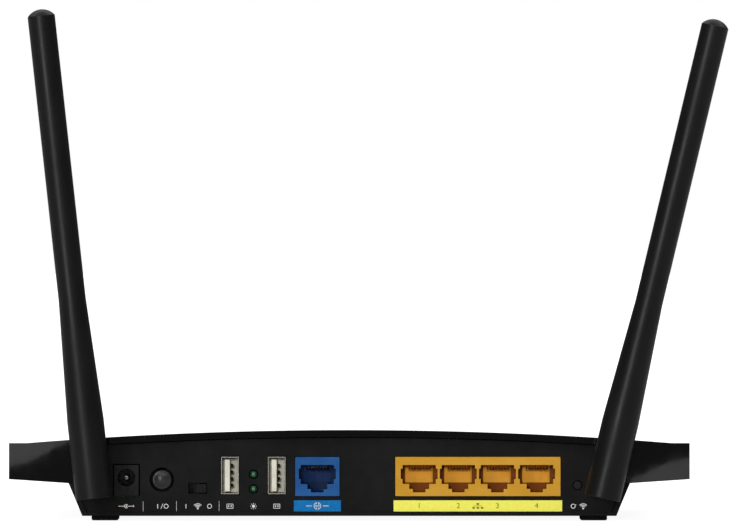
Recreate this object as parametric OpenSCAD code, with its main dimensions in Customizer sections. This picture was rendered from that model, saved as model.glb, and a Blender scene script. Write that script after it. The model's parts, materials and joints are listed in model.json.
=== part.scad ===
// Wireless router with two folding antennas. Millimetres, +Z up, ports on the -Y side.
// The origin is the middle of the casing, on the surface that the feet stand on.

/* [Casing] */
// Width over the wing tips
body_w = 243; // [238:1:300]
// Depth from the rear edge of the cover to the middle of its front edge
body_d = 160.6; // [150:0.2:200]
// Height of the crown above the surface that the feet stand on
body_h = 32.5; // [31.5:0.5:40]
// How much lower the cover is at its front edge than at its rear edge
front_drop = 7; // [2:0.5:8]
// Radius of the crown across the width
crown_r = 1430; // [1200:10:2200]
// Width of the flat shelf at each wing tip
shelf_w = 6.5; // [4:0.5:10]
// How far the front edge bows out past its corners
front_bow = 6; // [3:0.5:9]
// Radius of the two front corners in plan
corner_r = 12; // [6:1:20]
// Wall of the top cover
cover_wall = 2.5; // [2:0.1:3]
// Wall of the bottom case
case_wall = 2; // [1.6:0.1:2.4]
// How far each wing reaches out past the bottom case
wing_reach = 21.3; // [16:0.1:26]
// Height of the wing's lower edge where it meets the bottom case
wing_root_z = 13.5; // [12.5:0.1:15]
// How much higher the wing's lower edge is at its tip
wing_rise = 1.4; // [0.5:0.1:3]
// How far the bottom case's side walls lean out from bottom to top
side_lean = 4.9; // [2:0.1:6]
// Height of the rubber feet below the bottom case
foot_h = 1.8; // [1.2:0.1:3]

/* [Rear panel] */
// Thickness of the rear panel
panel_t = 2.2; // [1.6:0.1:3]
// How far the panel's face lies inside the rear edge of the cover
panel_recess = 1.7; // [1.2:0.1:3]
// Pitch of the four network sockets
socket_pitch = 13.97; // [13.97:0.01:14.6]
// Diameter of the power button's cap
power_cap_d = 6.9; // [5.5:0.1:7.5]
// Ring of space round the power button's cap
power_ring = 0.9; // [0.3:0.1:1]
// Diameter of the reset button
reset_d = 3; // [2:0.1:3.6]
// Width of the wireless switch's lever
lever_w = 3.2; // [2.6:0.1:3.4]
// How far the wireless switch's lever slides
lever_travel = 3; // [2:0.1:3.4]

/* [Antennas] */
// Overall length of an antenna mast
mast_l = 174.4; // [120:0.1:230]
// Diameter of the mast's upper part
mast_d = 9.7; // [8:0.1:11]
// Width of the mast at its hinge
hinge_w = 13; // [12:0.1:15]
// Lean of the left mast out from upright, in degrees
lean_left = 6.25; // [0:0.05:45]
// Lean of the right mast out from upright, in degrees
lean_right = 13.45; // [0:0.05:45]
// Height of the antenna connectors above the surface
antenna_z = 14.5; // [12.5:0.1:16]
// Gap between the mast's round end and its knuckle
knuckle_gap = 0.5; // [0.3:0.1:3]
// Radius of the hinge pin
hinge_pin_r = 1.25; // [0.8:0.05:1.8]

/* [Circuit board] */
// Thickness of the circuit board
board_t = 1.6; // [1:0.1:2]
// Height of the board's upper face above the surface
board_top = 8.8; // [8.4:0.1:9.4]
// Width of the circuit board
board_w = 170; // [164:1:172]
// Diameter of the antenna leads
lead_d = 1.8; // [1.1:0.1:2.2]

/* [Hidden] */
left = -1;
right = 1;
round_fn = 64; // small round shapes
arc_fn = 720; // the large arcs of the cover
eps = 0.01; // lets a cut run past a face

// casing
half_w = body_w / 2;
rear_y = -body_d / 2;
front_y = body_d / 2;
corner_y = front_y - front_bow; // where the front corners end
bow_half = half_w - corner_r;
bow_r = (bow_half * bow_half + front_bow * front_bow) / (2 * front_bow);
tilt = atan(front_drop / body_d);
shelf_z = crown_z(half_w - shelf_w);
case_half = half_w - wing_reach; // half width of the bottom case at the wing's root
case_rear = rear_y + 0.7;
case_front = corner_y - 5; // front of the bottom case at the wing's root
front_lean = 5;
floor_top = foot_h + case_wall;
cover_gap = 0.2; // between the cover's wall and the flange inside it
shell_top = body_h + 1;

// rear panel
panel_face = rear_y + panel_recess;
panel_back = panel_face + panel_t;
panel_gap = 0.15;
panel_low = foot_h + 0.8; // the panel stands on a thin lip of the case
panel_half = case_half - case_wall - panel_gap;
panel_stop = 0.4; // the lip's height in front of the panel
seat_gap = 0.05; // between the panel and the sides of its seat

// screws and posts
case_screw_xy = [for (s = [left, right], y = [rear_y + 30.3, front_y - 42.3]) [s * (case_half - 10.2), y]];
case_boss_r = 4;
case_boss_top = board_top - 0.8;
cover_boss_r = 3.6;
screw_r = 1.45;
screw_hole_r = 1.5;
screw_clear_r = 1.7;
screw_head_r = 2.7;
screw_head_h = 1.8;
head_pocket = 3; // depth of the pocket that a case screw's head sits in
case_screw_l = 13;
board_rear = panel_back + 0.5;
board_front = front_y - 42.3;
board_low = board_top - board_t;
board_screw_xy = [for (s = [left, right], y = [board_rear + 27.9, board_front - 8]) [s * (board_w / 2 - 6), y]];
post_r = 3.2;
board_hole_r = 1.6;
board_screw_r = 1.25;
board_screw_l = 4.4;
post_hole_r = 1.3;
post_hole_depth = 3.8;

// feet, keyholes and vents
foot_size = [9.6, 14];
foot_pocket = 0.5;
foot_gap = 0.1;
foot_xy = [for (s = [left, right], y = [rear_y + 14.3, case_front - front_lean - 10]) [s * (case_half - 12.8), y]];
keyhole_x = 60;
keyhole_r = 4;
keyhole_slot_r = 2;
keyhole_slot_l = 8;
vent_w = 2.2;
vent_l = 24;
vent_pitch = 5;
vent_count = 12; // to each side of the middle one
vent_y = [rear_y + 42, front_y - 44];

// sockets and switches, as distances from the middle of the panel
socket_depth = 21;
socket_h = 14;
socket_w = 15.9;
socket_proud = 0.3; // how far a socket's face stands out of the panel
socket_cut_gap = 0.15;
wan_x = -11.4;
lan_x = 45.9;
lan_count = 4;
lan_w = socket_pitch * (lan_count - 1) + 17.1;
plug_w = 11.8; // socket opening
plug_low = 4.4; // heights above the board
plug_high = 11.1;
side_notch = [13.1, 6.2, 9.8]; // width, lowest and highest height
latch_1 = [7, 2.6];
latch_2 = [4.4, 1.4];
plug_depth = 14;
contact_pitch = 1.02;
contact_w = 0.45;
usb_x = [-42.6, -25.9];
usb_size = [6.4, 13.4];
usb_wall = 0.4;
usb_low = 0.7; // above the board
usb_length = 17;
usb_cut_gap = 0.2;
tongue_w = 1.8;
tongue_h = 11.4;
tongue_off = 1.35; // from the shell's left side
dc_x = -79.6;
dc_size = [9, 11.2, 14];
dc_recess = 0.4;
dc_hole_r = 3.1;
dc_hole_z = 6.6; // above the board
dc_hole_depth = 10;
dc_pin_r = 1.05;
power_x = -66.9;
power_z = 14.7;
power_proud = 1.3;
power_travel = 2;
power_cap_l = 6.6;
power_stem = 3;
power_switch_size = [8.6, 13, 9.6];
wireless_x = -54.1;
wireless_z = 11.6;
wireless_slot_h = 3.6;
lever_gap = 0.2;
wireless_size = [9.6, 5, 5.4];
reset_x = 81.5;
reset_z = 12.7;
reset_gap = 0.25;
reset_travel = 0.4;
reset_size = [5.6, 4.4, 6.8];
led_x = -34.2;
led_z = [16.6, 11.4];
led_r = 1.5;
led_gap = 0.2;
led_block = [5.4, 6, 11];

// lamps at the front
lamp_count = 9;
lamp_pitch = 12;
lamp_y = front_y - 19;
lamp_r = 1.1;
lamp_gap = 0.15;
guide_low = board_top + 0.1;
guide_h = 2.4;
guide_w = 2;

// labels
label_t = 0.15;
wan_label = [16.8, 4];
lan_label = [lan_w + 1.2, 4];
label_low = 3.35;
rating_size = [64, 34];

// antennas, as distances out from the panel's face
antenna_x = case_half - 9.1;
jack_thread_r = 3.1;
jack_hole_gap = 0.1;
jack_out = 8.5;
jack_in = 10;
jack_body_r = 4.1;
jack_bore_r = 2.3;
jack_pin_r = 0.45;
nut_flats = 8;
nut_t = 2.2;
coupling_start = 3;
coupling_end = 12;
coupling_wall_t = 1.8;
coupling_r = 4.7;
grip_count = 18;
run_gap = 0.1; // a running clearance on the radius
neck_r = 2.6;
knuckle_r = 5.4;
knuckle_end = 14;
tongue_gap = 0.2;
hinge_tongue_w = 5.2;
hinge_tongue_r = 4;
mast_r = mast_d / 2;
hinge_r = hinge_w / 2;
hinge_out = knuckle_end + hinge_r + knuckle_gap; // the hinge pin's distance from the panel's face
grip_l = 22; // straight part above the hinge pin
taper_l = 43;
tip_l = 3;
mast_foot = hinge_r - 0.6; // the mast's end below the hinge pin
mast_top = mast_l - mast_foot; // above the hinge pin
bore_r = mast_r - 1.3;
element_size = [5, 0.8, 110];

function crown_z(x) = body_h - crown_r + sqrt(crown_r * crown_r - x * x);
function case_half_at(z) = case_half - side_lean * (wing_root_z - z) / (wing_root_z - foot_h);
function case_front_at(z) = case_front - front_lean * (wing_root_z - z) / (wing_root_z - foot_h);
function lean_of(side) = side == left ? -lean_left : lean_right;
function unit(v) = v / norm(v);

// A 2D shape in X and Z, drawn out from y0 to y1
module along_y(y0, y1) {
    translate([0, y1, 0]) rotate([90, 0, 0]) linear_extrude(y1 - y0) children();
}

// A 2D shape in Y and Z, drawn out from x0 to x1
module along_x(x0, x1) {
    translate([x0, 0, 0]) rotate([90, 0, 90]) linear_extrude(x1 - x0) children();
}

// A box from its lowest and highest corners
module box(low, high) {
    translate(low) cube(high - low);
}

// A cylinder along +Y from a point
module rod_y(at, r, l) {
    translate(at) rotate([-90, 0, 0]) cylinder(r = r, h = l, $fn = round_fn);
}

// ---- top cover ----

// The cover's outline in X and Z, drawn in from its outer face by inset
module cover_section(inset) {
    intersection() {
        translate([0, body_h - crown_r]) circle(r = crown_r - inset, $fn = arc_fn);
        translate([shelf_w - half_w, -5]) square([2 * (half_w - shelf_w), shell_top + 5]);
    }
    translate([inset - half_w, -5]) square([2 * (half_w - inset), shelf_z - inset + 5]);
}

// The cover's outline in plan, drawn in by inset
module cover_outline(inset) {
    wide = half_w - inset;
    r = corner_r - inset;
    back = rear_y + inset;
    deep = corner_y - inset - back;
    translate([-wide, back]) square([2 * wide, deep - r]);
    translate([-bow_half, back]) square([2 * bow_half, deep]);
    for (s = [left, right]) translate([s * bow_half, back + deep - r]) circle(r = r, $fn = round_fn);
    intersection() {
        translate([0, front_y - bow_r]) circle(r = bow_r - inset, $fn = arc_fn);
        translate([-bow_half, 0]) square([2 * bow_half, front_y]);
    }
}

// Leans the cover's upper face down towards the front
module tilted() {
    translate([0, rear_y, body_h]) rotate([-tilt, 0, 0]) translate([0, -rear_y, -body_h]) children();
}

// All that lies inside the cover's outer faces drawn in by inset, down to the surface
module cover_inside(inset, back = rear_y) {
    intersection() {
        tilted() along_y(rear_y - 10, front_y + 10) cover_section(inset);
        linear_extrude(shell_top) cover_outline(inset);
    }
}

// What lies above the lower edge of the wings
module above_wings() {
    tip_z = wing_root_z + wing_rise;
    along_y(rear_y - 1, front_y + 1) polygon([
        [-half_w, tip_z], [-case_half, wing_root_z], [case_half, wing_root_z], [half_w, tip_z],
        [half_w, shell_top], [-half_w, shell_top],
    ]);
}

module top_cover() color([0.04, 0.04, 0.045]) {
    difference() {
        union() {
            difference() {
                intersection() {
                    cover_inside(0);
                    above_wings();
                }
                cover_inside(cover_wall);
                intersection() {
                    tilted() along_y(rear_y - 10, rear_y + 10) cover_section(cover_wall);
                    box([-panel_half - panel_gap, rear_y - 5, 0], [panel_half + panel_gap, rear_y + 5, shell_top]);
                }
            }
            intersection() {
                cover_inside(cover_wall / 2);
                for (p = case_screw_xy) translate([p[0], p[1], case_boss_top + 0.2])
                    cylinder(r = cover_boss_r, h = body_h, $fn = round_fn);
            }
        }
        for (p = case_screw_xy) translate([p[0], p[1], 0])
            cylinder(r = screw_hole_r, h = foot_h + head_pocket + case_screw_l + 1, $fn = round_fn);
        for (i = [0 : lamp_count - 1]) translate([(i - (lamp_count - 1) / 2) * lamp_pitch, lamp_y, 0])
            cylinder(r = lamp_r + lamp_gap, h = body_h + 5, $fn = round_fn);
    }
}

// ---- bottom case ----

// The lower tub, drawn in by inset, from height low to height high
module case_block(inset, low, high) {
    bottom = case_half_at(low) - inset;
    top = case_half_at(min(high, wing_root_z)) - inset;
    front_bottom = case_front_at(low) - inset;
    front_top = case_front_at(min(high, wing_root_z)) - inset;
    knee = min(high, wing_root_z);
    intersection() {
        along_y(rear_y - 5, front_y) polygon([
            [-bottom, low], [bottom, low], [top, knee], [top, high], [-top, high], [-top, knee],
        ]);
        along_x(-half_w, half_w) polygon([
            [rear_y - 5, low], [front_bottom, low], [front_top, knee], [front_top, high], [rear_y - 5, high],
        ]);
    }
}

// The ledge that closes the wings and the front from below
module case_flange() {
    inset = cover_wall + cover_gap;
    tip_z = wing_root_z + wing_rise;
    intersection() {
        along_y(rear_y + inset, front_y) polygon([
            [-half_w, tip_z], [-case_half, wing_root_z], [case_half, wing_root_z], [half_w, tip_z],
            [half_w, tip_z + case_wall], [case_half, wing_root_z + case_wall],
            [-case_half, wing_root_z + case_wall], [-half_w, tip_z + case_wall],
        ]);
        linear_extrude(shell_top) cover_outline(inset);
    }
}

module keyhole() {
    cylinder(r = keyhole_r, h = 4 * case_wall, $fn = round_fn);
    translate([-keyhole_slot_r, -keyhole_slot_l, 0]) cube([2 * keyhole_slot_r, keyhole_slot_l, 4 * case_wall]);
    translate([0, -keyhole_slot_l, 0]) cylinder(r = keyhole_slot_r, h = 4 * case_wall, $fn = round_fn);
}

module bottom_case() color([0.1, 0.1, 0.1]) {
    top = wing_root_z + case_wall;
    difference() {
        union() {
            difference() {
                union() {
                    intersection() {
                        case_block(0, foot_h, top);
                        union() {
                            box([-half_w, case_rear, 0], [half_w, front_y, wing_root_z]);
                            box([-half_w, rear_y + cover_wall + cover_gap, 0], [half_w, front_y, top]);
                        }
                    }
                    case_flange();
                }
                case_block(case_wall, floor_top, top + 5);
                intersection() { // the panel's seat
                    case_block(case_wall, panel_low, top + 5);
                    box([-half_w, panel_face - seat_gap, 0], [half_w, panel_back + seat_gap, top + 6]);
                }
                intersection() { // over the lip in front of the panel
                    case_block(case_wall, panel_low + panel_stop, top + 5);
                    box([-half_w, rear_y - 4, 0], [half_w, panel_face, top + 6]);
                }
            }
            for (p = case_screw_xy) translate([p[0], p[1], foot_h + eps])
                cylinder(r = case_boss_r, h = case_boss_top - foot_h, $fn = round_fn);
            for (p = board_screw_xy) translate([p[0], p[1], foot_h + eps])
                cylinder(r = post_r, h = board_low - foot_h - eps, $fn = round_fn);
            box([-panel_half + 8, panel_back + 0.2, foot_h + eps], [panel_half - 8, panel_back + 1.7, floor_top + 2]);
        }
        for (p = case_screw_xy) translate([p[0], p[1], 0]) {
            cylinder(r = screw_head_r + 0.4, h = foot_h + head_pocket, $fn = round_fn);
            cylinder(r = screw_clear_r, h = case_boss_top + 5, $fn = round_fn);
        }
        for (p = board_screw_xy) translate([p[0], p[1], board_low - post_hole_depth])
            cylinder(r = post_hole_r, h = post_hole_depth + 1, $fn = round_fn);
        for (p = foot_xy) translate([p[0], p[1], foot_h])
            cube([foot_size[0] + 2 * foot_gap, foot_size[1] + 2 * foot_gap, 2 * foot_pocket], center = true);
        for (s = [left, right]) translate([s * keyhole_x, 0, 0]) keyhole();
        for (y = vent_y, i = [-vent_count : vent_count])
            translate([i * vent_pitch, y, floor_top]) cube([vent_w, vent_l, 3 * case_wall], center = true);
    }
}

module rubber_feet() color([0.03, 0.03, 0.03])
    for (p = foot_xy) translate([p[0] - foot_size[0] / 2, p[1] - foot_size[1] / 2, 0])
        cube([foot_size[0], foot_size[1], foot_h + foot_pocket]);

module rating_label() color("silver")
    box([-rating_size[0] / 2, -rating_size[1] / 2, foot_h - label_t], [rating_size[0] / 2, rating_size[1] / 2, foot_h]);

module case_screws() color("silver")
    for (p = case_screw_xy) translate([p[0], p[1], foot_h + head_pocket]) {
        translate([0, 0, -screw_head_h]) cylinder(r = screw_head_r, h = screw_head_h, $fn = round_fn);
        cylinder(r = screw_r, h = case_screw_l, $fn = round_fn);
    }

// ---- rear panel ----

// A rectangle in X and Z, by its middle in X, its lowest Z and its size
module port_cut(x, low, size, gap) {
    translate([x - size[0] / 2 - gap, low - gap]) square([size[0] + 2 * gap, size[1] + 2 * gap]);
}

module panel_cuts() {
    port_cut(dc_x, board_top, [dc_size[0], dc_size[1]], 0.3);
    translate([power_x, power_z]) circle(r = power_cap_d / 2 + power_ring, $fn = round_fn);
    port_cut(wireless_x, wireless_z - wireless_slot_h / 2, [lever_w + lever_travel, wireless_slot_h], lever_gap);
    for (x = usb_x) port_cut(x, board_top + usb_low, usb_size, usb_cut_gap);
    for (z = led_z) translate([led_x, z]) circle(r = led_r + led_gap, $fn = round_fn);
    port_cut(wan_x, board_top + 0.05, [socket_w, socket_h], socket_cut_gap);
    port_cut(lan_x, board_top + 0.05, [lan_w, socket_h], socket_cut_gap);
    translate([reset_x, reset_z]) circle(r = reset_d / 2 + reset_gap, $fn = round_fn);
    for (s = [left, right])
        translate([s * antenna_x, antenna_z]) circle(r = jack_thread_r + jack_hole_gap, $fn = round_fn);
}

module rear_panel() color([0.16, 0.16, 0.16])
    along_y(panel_face, panel_back) difference() {
        intersection() {
            translate([0, body_h - crown_r]) circle(r = crown_r - cover_wall - 2 * panel_gap, $fn = arc_fn);
            polygon([
                [-case_half_at(panel_low) + case_wall + panel_gap, panel_low],
                [case_half_at(panel_low) - case_wall - panel_gap, panel_low],
                [panel_half, wing_root_z], [panel_half, shell_top], [-panel_half, shell_top], [-panel_half, wing_root_z],
            ]);
        }
        panel_cuts();
    }

module panel_label(x, size)
    box([x - size[0] / 2, panel_face - label_t, label_low], [x + size[0] / 2, panel_face, label_low + size[1]]);

module internet_label() color([0.03, 0.5, 0.8]) panel_label(wan_x, wan_label);
module ethernet_label() color([0.97, 0.97, 0.35]) panel_label(lan_x, lan_label);

// ---- network sockets ----

// The opening for a network plug in X and Z, latch side down
module plug_opening() {
    translate([-plug_w / 2, plug_low]) square([plug_w, plug_high - plug_low]);
    translate([-side_notch[0] / 2, side_notch[1]]) square([side_notch[0], side_notch[2] - side_notch[1]]);
    translate([-latch_1[0] / 2, latch_1[1]]) square([latch_1[0], plug_low - latch_1[1] + 1]);
    translate([-latch_2[0] / 2, latch_2[1]]) square([latch_2[0], latch_1[1] - latch_2[1] + 1]);
}

module socket_block(x, w, centres) {
    face = panel_face - socket_proud;
    difference() {
        box([x - w / 2, face, board_top + 0.05], [x + w / 2, face + socket_depth, board_top + 0.05 + socket_h]);
        for (c = centres) translate([c, 0, board_top]) along_y(face - 1, face + plug_depth) plug_opening();
    }
}

// Eight sprung contacts that slope down from the top of the opening towards its back
module socket_contacts(centres) {
    face = panel_face - socket_proud;
    top = board_top + plug_high;
    for (c = centres, i = [0 : 7]) {
        x = c + (i - 3.5) * contact_pitch;
        along_x(x - contact_w / 2, x + contact_w / 2) polygon([
            [face + 1.6, top - 0.9], [face + 2.2, top - 0.1], [face + plug_depth - 0.1, top - 1.5],
            [face + plug_depth - 0.1, top - 2.1], [face + 2.4, top - 1.3],
        ]);
    }
}

lan_centres = [for (i = [0 : lan_count - 1]) lan_x + (i - (lan_count - 1) / 2) * socket_pitch];
module wan_jack() color([0.1, 0.4, 0.75]) socket_block(wan_x, socket_w, [wan_x]);
module wan_contacts() color("gold") socket_contacts([wan_x]);
module lan_jack() color([0.9, 0.62, 0.12]) socket_block(lan_x, lan_w, lan_centres);
module lan_contacts() color("gold") socket_contacts(lan_centres);

// ---- USB sockets ----

module usb_shell(x) color("silver") {
    low = board_top + usb_low;
    face = panel_face - socket_proud;
    difference() {
        box([x - usb_size[0] / 2, face, low], [x + usb_size[0] / 2, face + usb_length, low + usb_size[1]]);
        box([x - usb_size[0] / 2 + usb_wall, face - 1, low + usb_wall],
            [x + usb_size[0] / 2 - usb_wall, face + usb_length - usb_wall, low + usb_size[1] - usb_wall]);
    }
}

module usb_tongue(x) color("white") {
    low = board_top + usb_low;
    face = panel_face - socket_proud;
    back = face + usb_length - usb_wall - 0.1;
    side = x - usb_size[0] / 2 + tongue_off;
    gap = usb_wall + 0.1;
    mid = low + usb_size[1] / 2;
    box([x - usb_size[0] / 2 + gap, back - 5, low + gap], [x + usb_size[0] / 2 - gap, back, low + usb_size[1] - gap]);
    box([side, face + 0.8, mid - tongue_h / 2], [side + tongue_w, back - 4, mid + tongue_h / 2]);
}

module usb_contacts(x) color("gold") {
    mid = board_top + usb_low + usb_size[1] / 2;
    side = x - usb_size[0] / 2 + tongue_off + tongue_w;
    face = panel_face - socket_proud;
    for (z = [-3.5, -1, 1, 3.5]) box([side, face + 1.6, mid + z - 0.5], [side + 0.25, face + 10.5, mid + z + 0.5]);
}

// ---- power inlet and switches ----

module dc_jack() color([0.05, 0.05, 0.05]) {
    face = panel_face + dc_recess;
    difference() {
        box([dc_x - dc_size[0] / 2, face, board_top], [dc_x + dc_size[0] / 2, face + dc_size[2], board_top + dc_size[1]]);
        rod_y([dc_x, face - 1, board_top + dc_hole_z], dc_hole_r, dc_hole_depth + 1);
    }
}

module dc_pin() color("silver") {
    back = panel_face + dc_recess + dc_hole_depth;
    rod_y([dc_x, back - 8.6, board_top + dc_hole_z], dc_pin_r, 8.6);
    translate([dc_x, back - 8.6, board_top + dc_hole_z]) sphere(r = dc_pin_r, $fn = round_fn);
}

power_back = panel_face - power_proud + power_cap_l; // back of the cap
module power_button() color([0.25, 0.25, 0.26]) {
    rod_y([power_x, panel_face - power_proud, power_z], power_cap_d / 2, power_cap_l);
    translate([power_x - power_stem / 2, power_back - 1, power_z - power_stem / 2])
        cube([power_stem, power_travel + 6.5, power_stem]);
}

module power_switch() color([0.12, 0.12, 0.12]) {
    start = power_back + power_travel + 0.5;
    hole = power_stem / 2 + 0.15;
    difference() {
        box([power_x - power_switch_size[0] / 2, start, board_top],
            [power_x + power_switch_size[0] / 2, start + power_switch_size[1], board_top + power_switch_size[2]]);
        box([power_x - hole, start - 1, power_z - hole], [power_x + hole, start + 8.5, power_z + hole]);
    }
}

wireless_front = panel_back + 0.8;
lever_x = wireless_x + lever_travel / 2; // the lever rests at the right of its slot
module wireless_lever() color([0.06, 0.06, 0.06]) {
    z = wireless_z;
    h = wireless_slot_h / 2;
    box([lever_x - lever_w / 2, panel_face + 0.5, z - h + lever_gap], [lever_x + lever_w / 2, wireless_front + 2.6, z + h - lever_gap]);
    for (i = [-1 : 1]) translate([lever_x + i * 0.9 - 0.2, panel_face + 0.2, z - h + lever_gap]) cube([0.4, 0.4, 2 * (h - lever_gap)]);
}

module wireless_switch() color("silver") {
    w = wireless_size[0] / 2;
    room = (lever_w + lever_travel) / 2 + lever_gap;
    h = wireless_slot_h / 2;
    difference() {
        box([wireless_x - w, wireless_front, board_top], [wireless_x + w, wireless_front + wireless_size[1], board_top + wireless_size[2]]);
        box([wireless_x - room, wireless_front - 1, wireless_z - h], [wireless_x + room, wireless_front + 3, wireless_z + h]);
    }
}

reset_front = panel_back + 1;
module reset_button() color([0.05, 0.05, 0.05])
    rod_y([reset_x, panel_face + 0.2, reset_z], reset_d / 2, reset_front + 1.5 - panel_face);

module reset_switch() color([0.1, 0.1, 0.1])
    difference() {
        box([reset_x - reset_size[0] / 2, reset_front, board_top],
            [reset_x + reset_size[0] / 2, reset_front + reset_size[1], board_top + reset_size[2]]);
        rod_y([reset_x, reset_front - 1, reset_z], reset_d / 2 + run_gap, 3.4);
    }

// ---- USB lamps ----

lamp_front = panel_back + 0.5;
module led_holder() color([0.05, 0.05, 0.05])
    difference() {
        box([led_x - led_block[0] / 2, lamp_front, board_top], [led_x + led_block[0] / 2, lamp_front + led_block[1], board_top + led_block[2]]);
        for (z = led_z) rod_y([led_x, lamp_front - 1, z], led_r + led_gap, 5);
    }

module usb_led(z) color([0.05, 0.35, 0.12]) {
    tip = panel_face - 0.3 + led_r;
    translate([led_x, tip, z]) sphere(r = led_r, $fn = round_fn);
    rod_y([led_x, tip, z], led_r, lamp_front + 3.8 - tip);
}

// ---- front lamps ----

module light_guide() color([0.85, 0.9, 0.95, 0.6])
    intersection() {
        union() {
            for (i = [0 : lamp_count - 1]) {
                x = (i - (lamp_count - 1) / 2) * lamp_pitch;
                box([x - guide_w / 2, board_front + 0.3, guide_low], [x + guide_w / 2, lamp_y, guide_low + guide_h]);
                translate([x, lamp_y, guide_low]) cylinder(r = lamp_r, h = body_h, $fn = round_fn);
            }
            reach = (lamp_count - 1) / 2 * lamp_pitch;
            box([-reach, lamp_y - 9, guide_low], [reach, lamp_y - 7, guide_low + guide_h - 0.4]);
        }
        cover_inside(0.1);
    }

module status_leds() color("white")
    for (i = [0 : lamp_count - 1]) {
        x = (i - (lamp_count - 1) / 2) * lamp_pitch;
        box([x - 0.8, board_front - 1.2, board_top], [x + 0.8, board_front - 0.2, board_top + 0.7]);
    }

// ---- circuit board ----

module main_board() color([0.05, 0.3, 0.15])
    difference() {
        box([-board_w / 2, board_rear, board_low], [board_w / 2, board_front, board_top]);
        for (p = board_screw_xy) translate([p[0], p[1], board_low - 1]) cylinder(r = board_hole_r, h = board_t + 2, $fn = round_fn);
    }

module board_screws() color("silver")
    for (p = board_screw_xy) translate([p[0], p[1], board_top]) {
        cylinder(r = 2.6, h = 1.6, $fn = round_fn);
        translate([0, 0, -board_screw_l]) cylinder(r = board_screw_r, h = board_screw_l + 0.5, $fn = round_fn);
    }

// A tin can, open below, over a part of the board
module shield(x, y, size) color([0.75, 0.75, 0.77]) {
    wall = 0.3;
    translate([x, y, board_top]) difference() {
        box([-size[0] / 2, -size[1] / 2, 0], [size[0] / 2, size[1] / 2, size[2]]);
        box([wall - size[0] / 2, wall - size[1] / 2, -1], [size[0] / 2 - wall, size[1] / 2 - wall, size[2] - wall]);
    }
}

// Blocks that stand on the board, each by its middle in X and Y and its size
module on_board(blocks) for (b = blocks)
    translate([b[0] - b[2] / 2, b[1] - b[3] / 2, board_top]) cube([b[2], b[3], b[4]]);

chip_row = board_rear + 57.5; // the processor's row
switch_spot = [29.5, board_rear + 54];
module processor_chip() color([0.08, 0.08, 0.08]) on_board([[-8, chip_row, 17, 17, 1.4]]);
module memory_chips() color([0.08, 0.08, 0.08]) on_board([
    [-16, chip_row + 33, 11, 8, 1.1], [0, chip_row + 33, 11, 8, 1.1], [24, chip_row + 31, 5, 6, 1.6],
]);
module switch_chip() color([0.08, 0.08, 0.08]) on_board([[switch_spot[0], switch_spot[1], 14, 14, 1.2]]);
module transformers() color([0.1, 0.1, 0.1]) on_board([
    [wan_x, board_rear + 28, 15, 12, 6], [lan_x - 13, board_rear + 28.5, 22, 13, 6], [lan_x + 13, board_rear + 28.5, 22, 13, 6],
]);
module inductors() color([0.3, 0.3, 0.32]) on_board([for (i = [0 : 2]) [-79, chip_row + 10 + i * 10, 7, 7, 4]]);

module heat_sink() color([0.7, 0.7, 0.72]) {
    base = board_top + 1.2;
    translate([switch_spot[0], switch_spot[1], base]) {
        translate([-11, -11, 0]) cube([22, 22, 2]);
        for (i = [-3 : 3]) translate([i * 3.4 - 0.6, -11, 1.5]) cube([1.2, 22, 6]);
    }
}

module capacitors() color([0.1, 0.1, 0.2])
    for (c = [[-76, 46, 5, 12], [-64, 50, 4, 11], [-78, 58, 3.2, 9]])
        translate([c[0], board_rear + c[1], board_top]) cylinder(r = c[2], h = c[3], $fn = round_fn);

// ---- antennas ----

// Puts a shape drawn about the connector's axis, with -Y out from the panel, at one side
module at_connector(side) translate([side * antenna_x, panel_face, antenna_z]) children();

// The same, turned with the mast's lean
module at_lean(side) at_connector(side) rotate([0, lean_of(side), 0]) children();

module antenna_jack(side) color("gold") at_connector(side)
    difference() {
        union() {
            rod_y([0, -jack_out, 0], jack_thread_r, jack_out + panel_t + 0.5);
            rod_y([0, panel_t, 0], jack_body_r, jack_in - panel_t);
        }
        difference() {
            rod_y([0, -jack_out - 1, 0], jack_bore_r, 6);
            rod_y([0, -jack_out + 0.4, 0], jack_pin_r, 6);
        }
    }

module jack_nut(side) color([0.75, 0.75, 0.75]) at_connector(side)
    difference() {
        union() {
            rod_y([0, -0.5, 0], nut_flats / 2 + 0.5, 0.5);
            translate([0, -nut_t, 0]) rotate([-90, 0, 0]) cylinder(r = nut_flats / sqrt(3), h = nut_t - 0.5, $fn = 6);
        }
        rod_y([0, -nut_t - 1, 0], jack_thread_r + 0.05, nut_t + 2);
    }

module coupling_nut(side) color([0.06, 0.06, 0.06]) at_connector(side)
    difference() {
        rod_y([0, -coupling_end, 0], coupling_r, coupling_end - coupling_start);
        rod_y([0, coupling_wall_t - coupling_end, 0], jack_thread_r, coupling_end);
        rod_y([0, -coupling_end - 1, 0], neck_r + run_gap, coupling_end);
        for (i = [0 : grip_count - 1]) rotate([0, i * 360 / grip_count, 0])
            rod_y([0, -coupling_end + 0.8, 0] + [coupling_r + 0.15, 0, 0], 0.45, coupling_end - coupling_start - 1.6);
    }

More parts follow.
